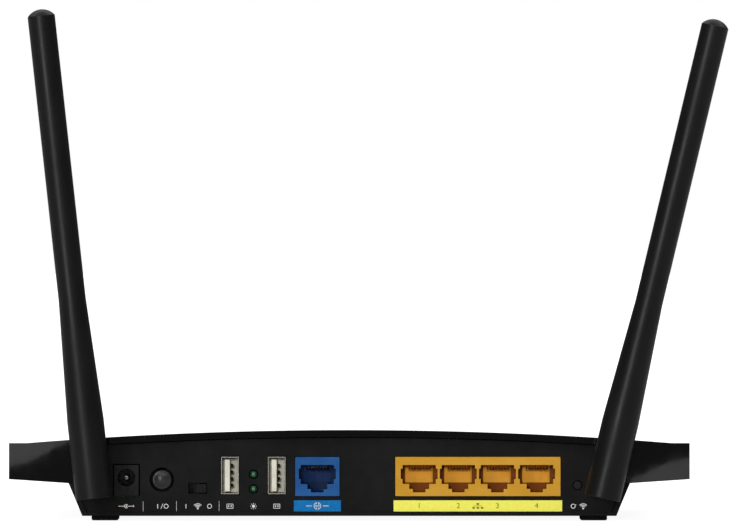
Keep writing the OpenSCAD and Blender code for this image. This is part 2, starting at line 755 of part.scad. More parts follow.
module antenna_knuckle(side) color([0.06, 0.06, 0.06]) at_lean(side) {
    collar_end = coupling_end - coupling_wall_t - run_gap;
    w = hinge_tongue_w / 2;
    difference() {
        union() {
            rod_y([0, -jack_out - run_gap, 0], jack_bore_r - run_gap, 4);
            rod_y([0, -collar_end, 0], jack_thread_r - run_gap, collar_end - jack_out - run_gap);
            rod_y([0, -coupling_end - 1, 0], neck_r, coupling_end + 1 - jack_out - run_gap);
            rod_y([0, -knuckle_end, 0], knuckle_r, knuckle_end - coupling_end - 0.2);
            translate([-w, -hinge_out, -hinge_tongue_r]) cube([2 * w, hinge_out - knuckle_end + 0.5, 2 * hinge_tongue_r]);
            translate([-w, -hinge_out, 0]) rotate([0, 90, 0]) cylinder(r = hinge_tongue_r, h = 2 * w, $fn = round_fn);
        }
        rod_y([0, -jack_out - run_gap - 1, 0], jack_pin_r + run_gap, 6);
        translate([-w - 1, -hinge_out, 0]) rotate([0, 90, 0]) cylinder(r = hinge_pin_r + 0.05, h = 2 * w + 2, $fn = round_fn);
    }
}

module hinge_pin(side) color("silver") at_lean(side)
    translate([-hinge_r + 1, -hinge_out, 0]) rotate([0, 90, 0]) cylinder(r = hinge_pin_r, h = hinge_w - 2, $fn = round_fn);

// The mast stands along +Z over its hinge pin
module antenna_mast(side) color([0.06, 0.06, 0.06]) at_lean(side) translate([0, -hinge_out, 0]) {
    slot = hinge_tongue_w / 2 + tongue_gap;
    clear = hinge_tongue_r + tongue_gap;
    difference() {
        union() {
            difference() {
                translate([0, 0, -mast_foot]) cylinder(r = hinge_r, h = mast_foot + grip_l, $fn = round_fn);
                difference() { // rounds the cheeks, which swing past the knuckle
                    box([-hinge_w, 0, -hinge_w], [hinge_w, hinge_w, 0]);
                    translate([-hinge_w - 1, 0, 0]) rotate([0, 90, 0]) cylinder(r = hinge_r, h = 2 * hinge_w + 2, $fn = round_fn);
                }
            }
            translate([0, 0, grip_l]) cylinder(r1 = hinge_r, r2 = mast_r, h = taper_l, $fn = round_fn);
            translate([0, 0, grip_l + taper_l]) cylinder(r = mast_r, h = mast_top - tip_l - grip_l - taper_l, $fn = round_fn);
            translate([0, 0, mast_top - tip_l]) intersection() {
                translate([0, 0, tip_l - mast_r * 1.25]) sphere(r = mast_r * 1.25, $fn = round_fn);
                cylinder(r = mast_r, h = tip_l, $fn = round_fn);
            }
        }
        box([-slot, -clear, -hinge_w], [slot, hinge_w, clear]);
        translate([-hinge_r + 1, 0, 0]) rotate([0, 90, 0]) cylinder(r = hinge_pin_r, h = hinge_w - 2, $fn = round_fn);
        translate([0, 0, clear - 1]) cylinder(r = bore_r, h = mast_top - tip_l - clear - 1, $fn = round_fn);
    }
}

module antenna_element(side) color([0.6, 0.45, 0.2]) at_lean(side) translate([0, -hinge_out, 0])
    translate([-element_size[0] / 2, -element_size[1] / 2, grip_l + taper_l / 2]) cube(element_size);

// ---- antenna leads ----

lead_end = [54, board_rear + 46.5, board_top + 1.1];
lead_route = [ // the right lead, from the back of its connector to its plug on the board
    [antenna_x, panel_face + jack_in, antenna_z], [antenna_x, panel_face + jack_in + 3, antenna_z],
    [antenna_x - 2.5, panel_face + jack_in + 7, antenna_z - 0.3], [82, board_rear + 20, 13.2],
    [76, board_rear + 26, 12.6], [72, board_rear + 34, 11.8], [68, board_rear + 41, 11], [61, board_rear + 45.5, 10.2],
    [lead_end[0] + 1, lead_end[1], lead_end[2]], [lead_end[0], lead_end[1], lead_end[2]],
];

// A point between b and c on a smooth curve through all four
function between(a, b, c, d, t) = 0.5 * (
    2 * b + (c - a) * t + (2 * a - 5 * b + 4 * c - d) * t * t + (3 * b - a - 3 * c + d) * t * t * t
);
function smooth(p, steps) = concat([for (i = [0 : len(p) - 2], k = [0 : steps - 1])
    between(p[max(i - 1, 0)], p[i], p[i + 1], p[min(i + 2, len(p) - 1)], k / steps)], [p[len(p) - 1]]);

// A tube of 8 sides through points
module tube(p, r) {
    n = len(p);
    rings = [for (i = [0 : n - 1])
        let (t = unit(p[min(i + 1, n - 1)] - p[max(i - 1, 0)]), u = unit(cross(t, [0, 0, 1])), v = cross(u, t))
            for (k = [0 : 7]) p[i] + r * (u * cos(k * 45) + v * sin(k * 45))];
    sides = [for (i = [0 : n - 2], k = [0 : 7]) let (a = i * 8 + k, b = i * 8 + (k + 1) % 8)
        each [[a, b, b + 8], [a, b + 8, a + 8]]];
    ends = [[for (k = [7 : -1 : 0]) k], [for (k = [0 : 7]) (n - 1) * 8 + k]];
    polyhedron(rings, concat(sides, ends));
}

module antenna_lead(side) color([0.15, 0.15, 0.15]) mirror([side == left ? 1 : 0, 0, 0]) {
    tube(smooth(lead_route, 4), lead_d / 2);
}

top_cover();
bottom_case();
rear_panel();
rubber_feet();
case_screws();
rating_label();
internet_label();
ethernet_label();
main_board();
board_screws();
wan_jack();
wan_contacts();
lan_jack();
lan_contacts();
for (i = [0, 1]) {
    usb_shell(usb_x[i]);
    usb_tongue(usb_x[i]);
    usb_contacts(usb_x[i]);
}
dc_jack();
dc_pin();
power_switch();
power_button();
wireless_switch();
wireless_lever();
reset_switch();
reset_button();
led_holder();
usb_led(led_z[0]);  // usb_led_upper
usb_led(led_z[1]);  // usb_led_lower
light_guide();
status_leds();
for (side = [left, right]) {
    end = side == left ? "_left" : "_right";
    antenna_jack(side);
    jack_nut(side);
    coupling_nut(side);
    antenna_knuckle(side);
    hinge_pin(side);
    antenna_mast(side);
    antenna_element(side);
    antenna_lead(side);
    shield(side * 58, board_rear + 76, [34, 30, 3.5]);
}
shield(-8, chip_row, [50, 42, 3.5]);  // main_shield
processor_chip();
memory_chips();
switch_chip();
heat_sink();
capacitors();
inductors();
transformers();
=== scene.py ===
# Wireless router with two folding antennas: the looks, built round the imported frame
import json
import math

import bmesh
import bpy
from mathutils import Matrix, Vector


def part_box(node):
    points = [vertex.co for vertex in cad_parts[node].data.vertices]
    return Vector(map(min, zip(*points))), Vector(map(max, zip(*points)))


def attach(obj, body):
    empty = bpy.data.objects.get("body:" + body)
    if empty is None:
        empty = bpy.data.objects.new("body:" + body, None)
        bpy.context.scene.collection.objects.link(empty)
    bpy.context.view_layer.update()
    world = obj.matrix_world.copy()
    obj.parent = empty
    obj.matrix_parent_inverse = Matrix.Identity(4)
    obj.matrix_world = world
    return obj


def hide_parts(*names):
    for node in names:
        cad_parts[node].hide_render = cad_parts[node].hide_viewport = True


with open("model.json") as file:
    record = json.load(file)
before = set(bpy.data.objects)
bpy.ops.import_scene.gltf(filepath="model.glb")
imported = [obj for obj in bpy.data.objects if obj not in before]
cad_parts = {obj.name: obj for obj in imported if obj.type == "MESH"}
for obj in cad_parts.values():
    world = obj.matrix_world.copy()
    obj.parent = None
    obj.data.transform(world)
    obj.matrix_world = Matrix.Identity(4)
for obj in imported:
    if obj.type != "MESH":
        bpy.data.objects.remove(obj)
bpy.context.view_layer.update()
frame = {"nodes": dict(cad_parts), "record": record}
scene = bpy.context.scene
mm = 0.001
bodyOf = {node: body for body, nodes in frame["record"]["behaviour"]["bodies"].items() for node in nodes}
sides = {"left": -1, "right": 1}


# Materials

def colour(code):  # sRGB hex to linear
    parts = [int(code[i:i + 2], 16) / 255 for i in (1, 3, 5)]
    return [p / 12.92 if p <= 0.04045 else ((p + 0.055) / 1.055) ** 2.4 for p in parts] + [1.0]


def addNode(tree, kind, settings=None, links=None):  # keys are sockets' names or numbers, or settings' names
    node = tree.nodes.new(kind)
    for key, value in (settings or {}).items():
        if isinstance(key, int) or key in node.inputs:
            node.inputs[key].default_value = value
        else:
            setattr(node, key, value)
    for key, source in (links or {}).items():
        tree.links.new(source, node.inputs[key])
    return node


def newMaterial(name, base, roughness, **sockets):
    material = bpy.data.materials.new(name)
    material.use_nodes = True
    material.diffuse_color = colour(base)
    shader = material.node_tree.nodes["Principled BSDF"]
    shader.inputs["Base Color"].default_value = colour(base)
    shader.inputs["Roughness"].default_value = roughness
    for key, value in sockets.items():
        shader.inputs[key.replace("_", " ")].default_value = value
    return material


def noiseOf(tree, size, stretch=(1, 1, 1), detail=2.0):  # size is the pattern's real size in mm
    place = addNode(tree, "ShaderNodeTexCoord").outputs["Object"]
    turn = addNode(tree, "ShaderNodeMapping", {"Scale": stretch}, {"Vector": place})
    noise = addNode(tree, "ShaderNodeTexNoise", {"Scale": 1 / (size * mm), "Detail": detail},
                    {"Vector": turn.outputs[0]})
    return noise.outputs["Fac"]


def grain(material, size, height, stretch=(1, 1, 1), detail=2.0):  # bump of that real size and height in mm
    tree = material.node_tree
    normal = tree.nodes["Principled BSDF"].inputs["Normal"]
    links = {"Height": noiseOf(tree, size, stretch, detail)}
    if normal.links:
        links["Normal"] = normal.links[0].from_socket
    bump = addNode(tree, "ShaderNodeBump", {"Strength": 1.0, "Distance": height * mm}, links)
    tree.links.new(bump.outputs[0], normal)
    return material


def scuffs(material, size, low, high, stretch=(1, 1, 1)):  # roughness that wanders from low to high
    tree = material.node_tree
    spread = addNode(tree, "ShaderNodeMapRange",
                     {"From Min": 0.35, "From Max": 0.65, "To Min": low, "To Max": high},
                     {"Value": noiseOf(tree, size, stretch, 4.0)})
    tree.links.new(spread.outputs[0], tree.nodes["Principled BSDF"].inputs["Roughness"])
    return material


def mottle(material, size, base, other, stretch=(1, 1, 1), detail=3.0):  # colour that wanders between two
    tree = material.node_tree
    ramp = addNode(tree, "ShaderNodeValToRGB", links={"Fac": noiseOf(tree, size, stretch, detail)})
    ramp.color_ramp.elements[0].position = 0.35
    ramp.color_ramp.elements[0].color = colour(base)
    ramp.color_ramp.elements[1].position = 0.65
    ramp.color_ramp.elements[1].color = colour(other)
    tree.links.new(ramp.outputs[0], tree.nodes["Principled BSDF"].inputs["Base Color"])
    return material


def paintShadeInwards(material, start, end, base):  # painted shade: the colour darkens to base from start to end, in mm along Y
    tree = material.node_tree
    socket = tree.nodes["Principled BSDF"].inputs["Base Color"]
    place = addNode(tree, "ShaderNodeTexCoord").outputs["Object"]
    along = addNode(tree, "ShaderNodeSeparateXYZ", links={0: place})
    depth = addNode(tree, "ShaderNodeMapRange", {"From Min": start * mm, "From Max": end * mm},
                    {"Value": along.outputs["Y"]})
    both = addNode(tree, "ShaderNodeMix", {"data_type": "RGBA", "B": colour(base)},
                   {"Factor": depth.outputs[0], "A": socket.links[0].from_socket})
    tree.links.new(both.outputs["Result"], socket)


def pianoAbs():  # ABS from a polished mould: a black mirror with a slight orange peel and fine wiping marks
    made = newMaterial("absPolishedBlack", "#060607", 0.07, IOR=1.53, Coat_Weight=0.2, Coat_Roughness=0.03)
    scuffs(made, 5, 0.045, 0.075, (1, 0.12, 1))
    grain(made, 4.0, 0.0015)
    return grain(made, 0.25, 0.0002)


def sparkAbs(name, base, other, rough=0.5, shine=0.25):  # ABS from a spark-eroded mould: an even matt grain
    made = newMaterial(name, base, rough, IOR=1.53, Specular_IOR_Level=shine)
    mottle(made, 14, base, other)
    scuffs(made, 6, rough - 0.06, rough + 0.08)
    return grain(made, 0.55, 0.035, detail=3.0)  # the real grain is 0.1 mm, drawn coarser so that it shows


def satinTpe():  # soft elastomer over the masts: satin, with faint drag lines along its length
    made = newMaterial("tpeSatinBlack", "#09090A", 0.36, IOR=1.5, Specular_IOR_Level=0.35)
    mottle(made, 20, "#080809", "#0C0C0D")
    scuffs(made, 5, 0.32, 0.42, (1, 1, 0.15))
    grain(made, 1.2, 0.006, (1, 1, 0.1))
    return grain(made, 0.4, 0.01)


def mouldedPbt(name, base, other):  # glass-filled PBT: half gloss, with pale flow marks from the filling
    made = newMaterial(name, base, 0.38, IOR=1.57, Specular_IOR_Level=0.3)
    mottle(made, 3.5, base, other, (0.4, 1, 1))
    scuffs(made, 2, 0.3, 0.46)
    return grain(made, 0.5, 0.012)


def platedMetal(name, base, other, rough, streaks=(1, 1, 1), size=1.5):  # rolled sheet under a thin plating
    made = newMaterial(name, base, rough, Metallic=1.0)
    mottle(made, size, base, other, streaks)
    scuffs(made, size, rough - 0.08, rough + 0.08, streaks)
    return grain(made, size * 0.4, 0.004, streaks)


def printedFilm(name, base, other):  # ink under a clear satin film
    made = newMaterial(name, base, 0.4, IOR=1.5, Specular_IOR_Level=0.25)
    mottle(made, 0.8, base, other)
    return grain(made, 1.6, 0.004)


def inkMaterial(name, base, other):  # screen-printed ink: matt, a little uneven
    made = newMaterial(name, base, 0.6, IOR=1.5)
    return mottle(made, 0.5, base, other)


def lampEpoxy():  # tinted epoxy dome: deep green, and glossy like glass
    made = newMaterial("epoxyGreenCast", "#0A3A18", 0.12, IOR=1.54,
                       Coat_Weight=0.3, Transmission_Weight=0.15)
    mottle(made, 1.5, "#0A3015", "#12401F")
    return grain(made, 1.0, 0.004)


def mouldedRubber():  # black rubber: dull, dusty and finely pitted
    made = newMaterial("rubberMouldedBlack", "#0B0B0B", 0.85, IOR=1.52)
    mottle(made, 3, "#090909", "#141413")
    return grain(made, 0.4, 0.03)


def boardMask():  # green solder mask over copper: tracks and ground areas show as paler lines and fields
    made = newMaterial("solderMaskGreen", "#06210F", 0.32, IOR=1.55, Coat_Weight=0.3, Coat_Roughness=0.15)
    tree = made.node_tree
    place = addNode(tree, "ShaderNodeTexCoord").outputs["Object"]
    tracks = addNode(tree, "ShaderNodeTexBrick", {
        "Scale": 1 / (6 * mm), "Color1": colour("#06210F"), "Color2": colour("#082A15"),
        "Mortar": colour("#0F4524"), "Mortar Size": 0.05, "Bias": 0.2}, {"Vector": place})
    cells = addNode(tree, "ShaderNodeTexVoronoi", {"Scale": 1 / (4 * mm), "feature": "DISTANCE_TO_EDGE"},
                    {"Vector": place})
    edge = addNode(tree, "ShaderNodeMath", {"operation": "LESS_THAN", 1: 0.04},
                   {0: cells.outputs["Distance"]})
    both = addNode(tree, "ShaderNodeMix", {"data_type": "RGBA", "B": colour("#1A5630")},
                   {"Factor": edge.outputs[0], "A": tracks.outputs["Color"]})
    tree.links.new(both.outputs["Result"], tree.nodes["Principled BSDF"].inputs["Base Color"])
    return grain(made, 2.5, 0.01)


def clearAcrylic():  # polished acrylic light guide: nearly clear, with a faint moulded haze
    made = newMaterial("acrylicPolishedClear", "#DDE6EC", 0.1, IOR=1.49, Transmission_Weight=0.7)
    return scuffs(made, 2, 0.06, 0.2)


mats = {
    "cover": pianoAbs(),
    "case": sparkAbs("absSparkBlack", "#0A0A0A", "#0F0F0F", 0.6, 0.2),
    "panel": sparkAbs("absSparkGraphite", "#0D0D0D", "#131313", 0.62, 0.18),
    "antenna": satinTpe(),
    "knuckle": sparkAbs("absSparkKnuckle", "#0D0D0E", "#121213", 0.5),
    "blue": mouldedPbt("pbtMouldedBlue", "#0C4782", "#16528F"),
    "orange": mouldedPbt("pbtMouldedOrange", "#C08A1C", "#C8952E"),
    "amber": mouldedPbt("pbtMouldedAmber", "#EBA42C", "#F2B040"),
    "navy": mouldedPbt("pbtMouldedNavy", "#06204A", "#0A2C60"),
    "blackPbt": mouldedPbt("pbtMouldedBlack", "#070707", "#0D0D0D"),
    "white": mouldedPbt("lcpMouldedIvory", "#DAD7C9", "#CCC9BB"),
    "grey": sparkAbs("absSatinGrey", "#1C1C1D", "#252526", 0.26, 0.5),
    "gold": platedMetal("bronzeGoldFlashed", "#D9AE55", "#C8983E", 0.26),
    "bronze": platedMetal("bronzeTarnished", "#857755", "#6E6145", 0.35),
    "tin": platedMetal("steelTinPlated", "#C6C2B4", "#B0AC9F", 0.34, (1, 0.15, 1)),
    "can": platedMetal("steelTinnedSheet", "#C4C5C2", "#AEB0AD", 0.38, (0.3, 1, 1), 4.0),
    "nickel": platedMetal("brassNickelPlated", "#B9B6AC", "#A3A096", 0.25),
    "zinc": platedMetal("steelZincPlated", "#A9ABAD", "#8F9294", 0.36),
    "copper": platedMetal("copperRolled", "#B8703F", "#9A5A30", 0.35, (1, 1, 0.1), 3.0),
    "aluminium": platedMetal("aluminiumExtruded", "#B4B6B8", "#A2A5A8", 0.4, (1, 0.08, 1), 2.0),
    "lamp": lampEpoxy(),
    # painted highlight: a paler green disc on each lamp's tip stands in for the glint of light on its glossy
    # dome
    "lampCore": mouldedPbt("paintedGlintGreen", "#456F50", "#54805E"),
    "rubber": mouldedRubber(),
    "board": boardMask(),
    "acrylic": clearAcrylic(),
    "chip": sparkAbs("epoxyMouldedChip", "#101011", "#17171A", 0.55),
    "ferrite": sparkAbs("ferritePressed", "#26272A", "#303236", 0.6),
    "sleeve": printedFilm("pvcShrinkSleeve", "#0D1030", "#141842"),
    "ceramic": mouldedPbt("ceramicPressedWhite", "#E9E7DC", "#F2F0E8"),
    "blueFilm": printedFilm("filmPrintedBlue", "#0266A6", "#0470B2"),
    "yellowFilm": printedFilm("filmPrintedYellow", "#EAE65A", "#F0EC68"),
    "silverFilm": printedFilm("filmPrintedSilver", "#A9ABAD", "#B5B7B9"),
    "whiteInk": inkMaterial("inkPrintedWhite", "#D2D2D0", "#E6E6E4"),
    "oliveInk": inkMaterial("inkPrintedOlive", "#5A5A10", "#6C6C1E"),
    "greyInk": inkMaterial("inkPrintedGrey", "#5E6062", "#6E7072"),
}
print("materials", len(mats))


# Shapes

def plainCopy(node):  # a CAD solid's triangles as a clean mesh, its doubles merged and its flats joined
    source = frame["nodes"][node].data
    mesh = bpy.data.meshes.new(node + "Copy")
    mesh.from_pydata([v.co for v in source.vertices], [], [p.vertices[:] for p in source.polygons])
    shape = bmesh.new()
    shape.from_mesh(mesh)
    bmesh.ops.remove_doubles(shape, verts=shape.verts, dist=0.001 * mm)
    bmesh.ops.dissolve_limit(shape, angle_limit=math.radians(0.3), verts=shape.verts, edges=shape.edges)
    shape.to_mesh(mesh)
    shape.free()
    return mesh


def markEdges(mesh, angle):  # smooth faces, with the edges sharper than angle kept crisp
    shape = bmesh.new()
    shape.from_mesh(mesh)
    for face in shape.faces:
        face.smooth = True
    for edge in shape.edges:
        edge.smooth = len(edge.link_faces) == 2 and edge.calc_face_angle(0) < math.radians(angle)
    shape.to_mesh(mesh)
    shape.free()


def addPiece(name, mesh, body, material):
    piece = bpy.data.objects.new(name, mesh)
    scene.collection.objects.link(piece)
    mesh.materials.clear()
    mesh.materials.append(material)
    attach(piece, body)
    return piece


def roundEdges(piece, width, segments=2, angle=35):
    bevel = piece.modifiers.new("roundedEdges", "BEVEL")
    bevel.width = width * mm
    bevel.segments = segments
    bevel.limit_method = "ANGLE"
    bevel.angle_limit = math.radians(angle)
    bevel.harden_normals = True


def refine(node, material, width, segments=2):  # the CAD solid again, with rounded edges
    words = node.split("_")
    mesh = plainCopy(node)
    markEdges(mesh, 24)
    name = words[0] + "".join(w.capitalize() for w in words[1:])
    piece = addPiece(name, mesh, bodyOf[node], material)
    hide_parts(node)
    if width:
        roundEdges(piece, width, segments)


def addBox(shape, low, high):
    size = Vector(high) - Vector(low)
    middle = (Vector(high) + Vector(low)) / 2
    bmesh.ops.create_cube(shape, size=1, matrix=Matrix.Translation(middle) @ Matrix.Diagonal((*size, 1)))


def addTurned(shape, profile, place, steps=48):  # (radius, height) points turned about Z, then placed
    rings = []
    for radius, height in profile:
        if radius < 1e-7:
            rings.append([shape.verts.new(place @ Vector((0, 0, height)))] * steps)
            continue
        rings.append([shape.verts.new(place @ Vector((
            radius * math.cos(2 * math.pi * k / steps), radius * math.sin(2 * math.pi * k / steps), height)))
            for k in range(steps)])
    for lower, upper in zip(rings, rings[1:]):
        for k in range(steps):
            corners = [lower[k], lower[(k + 1) % steps], upper[(k + 1) % steps], upper[k]]
            corners = [c for i, c in enumerate(corners) if c not in corners[:i]]
            if len(corners) > 2:
                shape.faces.new(corners)


def toMesh(shape, name, angle=30):
    bmesh.ops.recalc_face_normals(shape, faces=shape.faces)
    mesh = bpy.data.meshes.new(name)
    shape.to_mesh(mesh)
    shape.free()
    markEdges(mesh, angle)
    return mesh


def baked(piece):  # its modifiers' result as its own mesh
    bpy.context.view_layer.update()
    mesh = bpy.data.meshes.new_from_object(piece.evaluated_get(bpy.context.evaluated_depsgraph_get()))
    piece.modifiers.clear()
    piece.data = mesh
    return mesh


def turnTo(direction, origin):  # places a shape made along +Z so that it runs along direction
    turn = Vector(direction).to_track_quat("Z", "Y").to_matrix().to_4x4()
    return Matrix.Translation(Vector(origin)) @ turn


# Repeats: a Geometry Nodes tree sets copies of one master out in columns and rows

def repeatTree(name, master, material):
    tree = bpy.data.node_groups.new(name, "GeometryNodeTree")
    tree.interface.new_socket("Geometry", in_out="OUTPUT", socket_type="NodeSocketGeometry")
    for label, kind in (("Start", "Vector"), ("Columns", "Int"), ("Column Step", "Vector"),
                        ("Rows", "Int"), ("Row Step", "Vector")):
        tree.interface.new_socket(label, in_out="INPUT", socket_type="NodeSocket" + kind)
    given = addNode(tree, "NodeGroupInput").outputs
    rows = addNode(tree, "GeometryNodeMeshLine", {"mode": "OFFSET"},
                   {"Count": given["Rows"], "Start Location": given["Start"], "Offset": given["Row Step"]})
    columns = addNode(tree, "GeometryNodeMeshLine", {"mode": "OFFSET"},
                      {"Count": given["Columns"], "Offset": given["Column Step"]})
    spread = addNode(tree, "GeometryNodeInstanceOnPoints",
                     links={"Points": rows.outputs[0], "Instance": columns.outputs[0]})
    points = addNode(tree, "GeometryNodeRealizeInstances", links={"Geometry": spread.outputs[0]})
    shape = addNode(tree, "GeometryNodeObjectInfo", {"Object": master})
    copies = addNode(tree, "GeometryNodeInstanceOnPoints",
                     links={"Points": points.outputs[0], "Instance": shape.outputs["Geometry"]})
    solid = addNode(tree, "GeometryNodeRealizeInstances", links={"Geometry": copies.outputs[0]})
    finish = addNode(tree, "GeometryNodeSetMaterial", {"Material": material}, {"Geometry": solid.outputs[0]})
    addNode(tree, "NodeGroupOutput", links={"Geometry": finish.outputs[0]})
    return tree


def repeated(name, masterMesh, body, material, start, columns, columnStep, rows=1, rowStep=(0, 0, 0)):
    master = bpy.data.objects.new(name + "Master", masterMesh)
    scene.collection.objects.link(master)
    tree = repeatTree(name + "Rows", master, material)
    holder = bpy.data.objects.new(name + "Holder", bpy.data.meshes.new(name))
    scene.collection.objects.link(holder)
    modifier = holder.modifiers.new(name, "NODES")
    modifier.node_group = tree
    values = {"Start": start, "Columns": columns, "Column Step": columnStep,
              "Rows": rows, "Row Step": rowStep}
    for item in tree.interface.items_tree:
        if item.in_out == "INPUT":
            modifier[item.identifier] = values[item.name]
    mesh = baked(holder)
    bpy.data.objects.remove(holder)
    bpy.data.objects.remove(master)
    return addPiece(name, mesh, body, material)


# Top cover: a crowned sheet with its walls hanging from it, thickened inwards

cover = {
    "crownRadius": 1430, "frontDrop": 7, "shelf": 6.5, "frontBow": 6, "cornerRadius": 12, "wall": 2.5,
    "wingRoot": 13.5, "wingEnd": 14.9, "wingReach": 21.3, "wingHeight": 17, "caseWall": 2, "edgeRadius": 0.7,
    "leanLow": 1.5, "leanHigh": 4.5, "turnOut": 4.5,  # degrees that the wings' rear walls lean and turn
    "strips": 96, "wallRows": 8, "cornerSteps": 8, "wingStep": 4,
}
coverLow, coverHigh = (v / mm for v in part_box("top_cover"))
rearY, frontY, crownTop, halfWidth = coverLow.y, coverHigh.y, coverHigh.z, coverHigh.x
wingTip = halfWidth - cover["wingReach"]


def crownHeight(x, y):  # the outer face's height over a point, in mm
    reach = min(abs(x), halfWidth - cover["shelf"])
    drop = cover["crownRadius"] - math.sqrt(cover["crownRadius"] ** 2 - reach ** 2)
    slope = cover["frontDrop"] / (frontY - rearY)
    return crownTop - (y - rearY) * slope - drop * math.sqrt(1 + slope ** 2)


def lowerEdge(x):  # where the walls end, rising towards the wing tips
    rise = cover["wingEnd"] - cover["wingRoot"]
    return cover["wingRoot"] + rise * max(abs(x) - wingTip, 0) / cover["wingReach"]


def rearRecess(x, z):  # how far the wings' crowned rear walls lie in front of the casing's rearmost line
    out = max(abs(x) - wingTip + cover["caseWall"], 0)
    up = z - lowerEdge(x)
    rise = math.tan(math.radians(cover["leanLow"]))
    gain = (math.tan(math.radians(cover["leanHigh"])) - rise) / (2 * cover["wingHeight"])
    turn = math.tan(math.radians(cover["turnOut"])) / (2 * cover["wingReach"])
    return rise * up + gain * up * up + turn * out * out


def frontLine(x):  # the plan outline's front edge at x
    bowHalf = halfWidth - cover["cornerRadius"]
    bowRadius = (bowHalf ** 2 + cover["frontBow"] ** 2) / (2 * cover["frontBow"])
    if abs(x) <= bowHalf:
        return frontY - bowRadius + math.sqrt(bowRadius ** 2 - x * x)
    corner = math.sqrt(max(cover["cornerRadius"] ** 2 - (abs(x) - bowHalf) ** 2, 0))
    return frontY - cover["frontBow"] - cover["cornerRadius"] + corner


def coverColumns():
    bowHalf = halfWidth - cover["cornerRadius"]
    shelfX = halfWidth - cover["shelf"]
    opening = wingTip - cover["caseWall"]
    even = [bowHalf * (2 * k / cover["strips"] - 1) for k in range(cover["strips"] + 1)]
    wingLines = [opening + k * cover["wingStep"] for k in range(4)]
    fixed = [s * v for s in (-1, 1) for v in [shelfX] + wingLines]
    keep = [x for x in even if all(abs(x - f) > 1 for f in fixed)]
    return sorted(keep + fixed)


def coverMesh():
    shape = bmesh.new()
    columns = coverColumns()
    opening = wingTip - cover["caseWall"]
    cache = {}

    def at(x, y, z):
        key = (round(x, 4), round(y, 4), round(z, 4))
        if key not in cache:
            cache[key] = shape.verts.new(Vector((x, y, z)) * mm)
        return cache[key]

    def top(x, y):
        return at(x, y, crownHeight(x, y))

    outline = [(x, frontLine(x)) for x in columns]
    bowHalf = halfWidth - cover["cornerRadius"]
    cornerY = frontY - cover["frontBow"] - cover["cornerRadius"]
    radius = cover["cornerRadius"]
    first = math.asin((columns[-1] - bowHalf) / radius)
    arc = []
    for k in range(cover["cornerSteps"] + 1):  # the corner from the shelf's inner edge round to the side
        angle = first + (math.pi / 2 - first) * k / cover["cornerSteps"]
        arc.append((bowHalf + radius * math.sin(angle), cornerY + radius * math.cos(angle)))

    def rear(x):  # the crown's rear edge
        return rearY + (rearRecess(x, crownHeight(x, rearY)) if abs(x) > opening - 0.01 else 0)

    def wingPoint(x, step):
        z = crownHeight(x, rearY) + (lowerEdge(x) - crownHeight(x, rearY)) * step / cover["wallRows"]
        return top(x, rear(x)) if step == 0 else at(x, rearY + rearRecess(x, z), z)

    for x0, x1 in zip(columns, columns[1:]):  # the crown, one ruled strip at a time
        shape.faces.new([top(x0, rear(x0)), top(x1, rear(x1)),
                         top(x1, frontLine(x1)), top(x0, frontLine(x0))])
    for s in (-1, 1):  # the flat shelf with its rounded corner
        edge = [(s * x, y) for x, y in arc]
        face = [top(s * x, rear(x)) for x in (halfWidth, columns[-1])] + [top(*p) for p in edge]
        shape.faces.new(face if s < 0 else face[::-1])
    for (x0, y0), (x1, y1) in zip(arc[::-1], arc[-2::-1]):
        for s in (-1, 1):  # the corners' walls
            shape.faces.new([top(s * x0, y0), top(s * x1, y1),
                             at(s * x1, y1, lowerEdge(x1)), at(s * x0, y0, lowerEdge(x0))])
    for (x0, y0), (x1, y1) in zip(outline, outline[1:]):  # the front wall
        shape.faces.new([top(x0, y0), top(x1, y1), at(x1, y1, lowerEdge(x1)), at(x0, y0, lowerEdge(x0))])
    wing = [x for x in columns if x >= opening - 0.01] + [halfWidth]
    for s in (-1, 1):  # the wings' rear walls, then their side walls
        for step in range(cover["wallRows"]):
            for x0, x1 in zip(wing, wing[1:]):
                shape.faces.new([wingPoint(s * x0, step), wingPoint(s * x1, step),
                                 wingPoint(s * x1, step + 1), wingPoint(s * x0, step + 1)])
        corner = [wingPoint(s * halfWidth, step) for step in range(cover["wallRows"] + 1)]
        x, y = arc[-1]
        shape.faces.new(corner + [at(s * x, y, lowerEdge(x)), top(s * x, y)])
    bmesh.ops.recalc_face_normals(shape, faces=shape.faces)
    if max(shape.faces, key=lambda f: f.calc_area()).normal.z < 0:
        bmesh.ops.reverse_faces(shape, faces=shape.faces)
    mesh = bpy.data.meshes.new("topCover")
    shape.to_mesh(mesh)
    shape.free()
    return mesh


lampRow = {"count": 9, "pitch": 12, "holeRadius": 1.25, "fromFront": 19, "drillLow": 20, "drillHigh": 40}


def makeCover():
    piece = bpy.data.objects.new("topCover", coverMesh())
    scene.collection.objects.link(piece)
    wall = piece.modifiers.new("wall", "SOLIDIFY")
    wall.thickness = cover["wall"] * mm
    wall.offset = -1
    wall.use_even_offset = True
    baked(piece)
    roundEdges(piece, cover["edgeRadius"], 4, 50)
    baked(piece)
    drill = bmesh.new()
    r, low, high = (lampRow[k] * mm for k in ("holeRadius", "drillLow", "drillHigh"))
    for k in range(lampRow["count"]):
        x = (k - (lampRow["count"] - 1) / 2) * lampRow["pitch"]
        place = Matrix.Translation((x * mm, (frontY - lampRow["fromFront"]) * mm, 0))
        addTurned(drill, [(0, low), (r, low), (r, high), (0, high)], place, steps=24)
    cutter = bpy.data.objects.new("drill", toMesh(drill, "drill"))
    scene.collection.objects.link(cutter)
    cut = piece.modifiers.new("lampHoles", "BOOLEAN")
    cut.object = cutter
    cut.solver = "EXACT"
    mesh = baked(piece)
    bpy.data.objects.remove(cutter)
    markEdges(mesh, 40)
    bpy.data.objects.remove(piece)
    piece = addPiece("topCover", mesh, "casing", mats["cover"])
    piece.modifiers.new("evenShine", "WEIGHTED_NORMAL").keep_sharp = True
    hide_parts("top_cover")


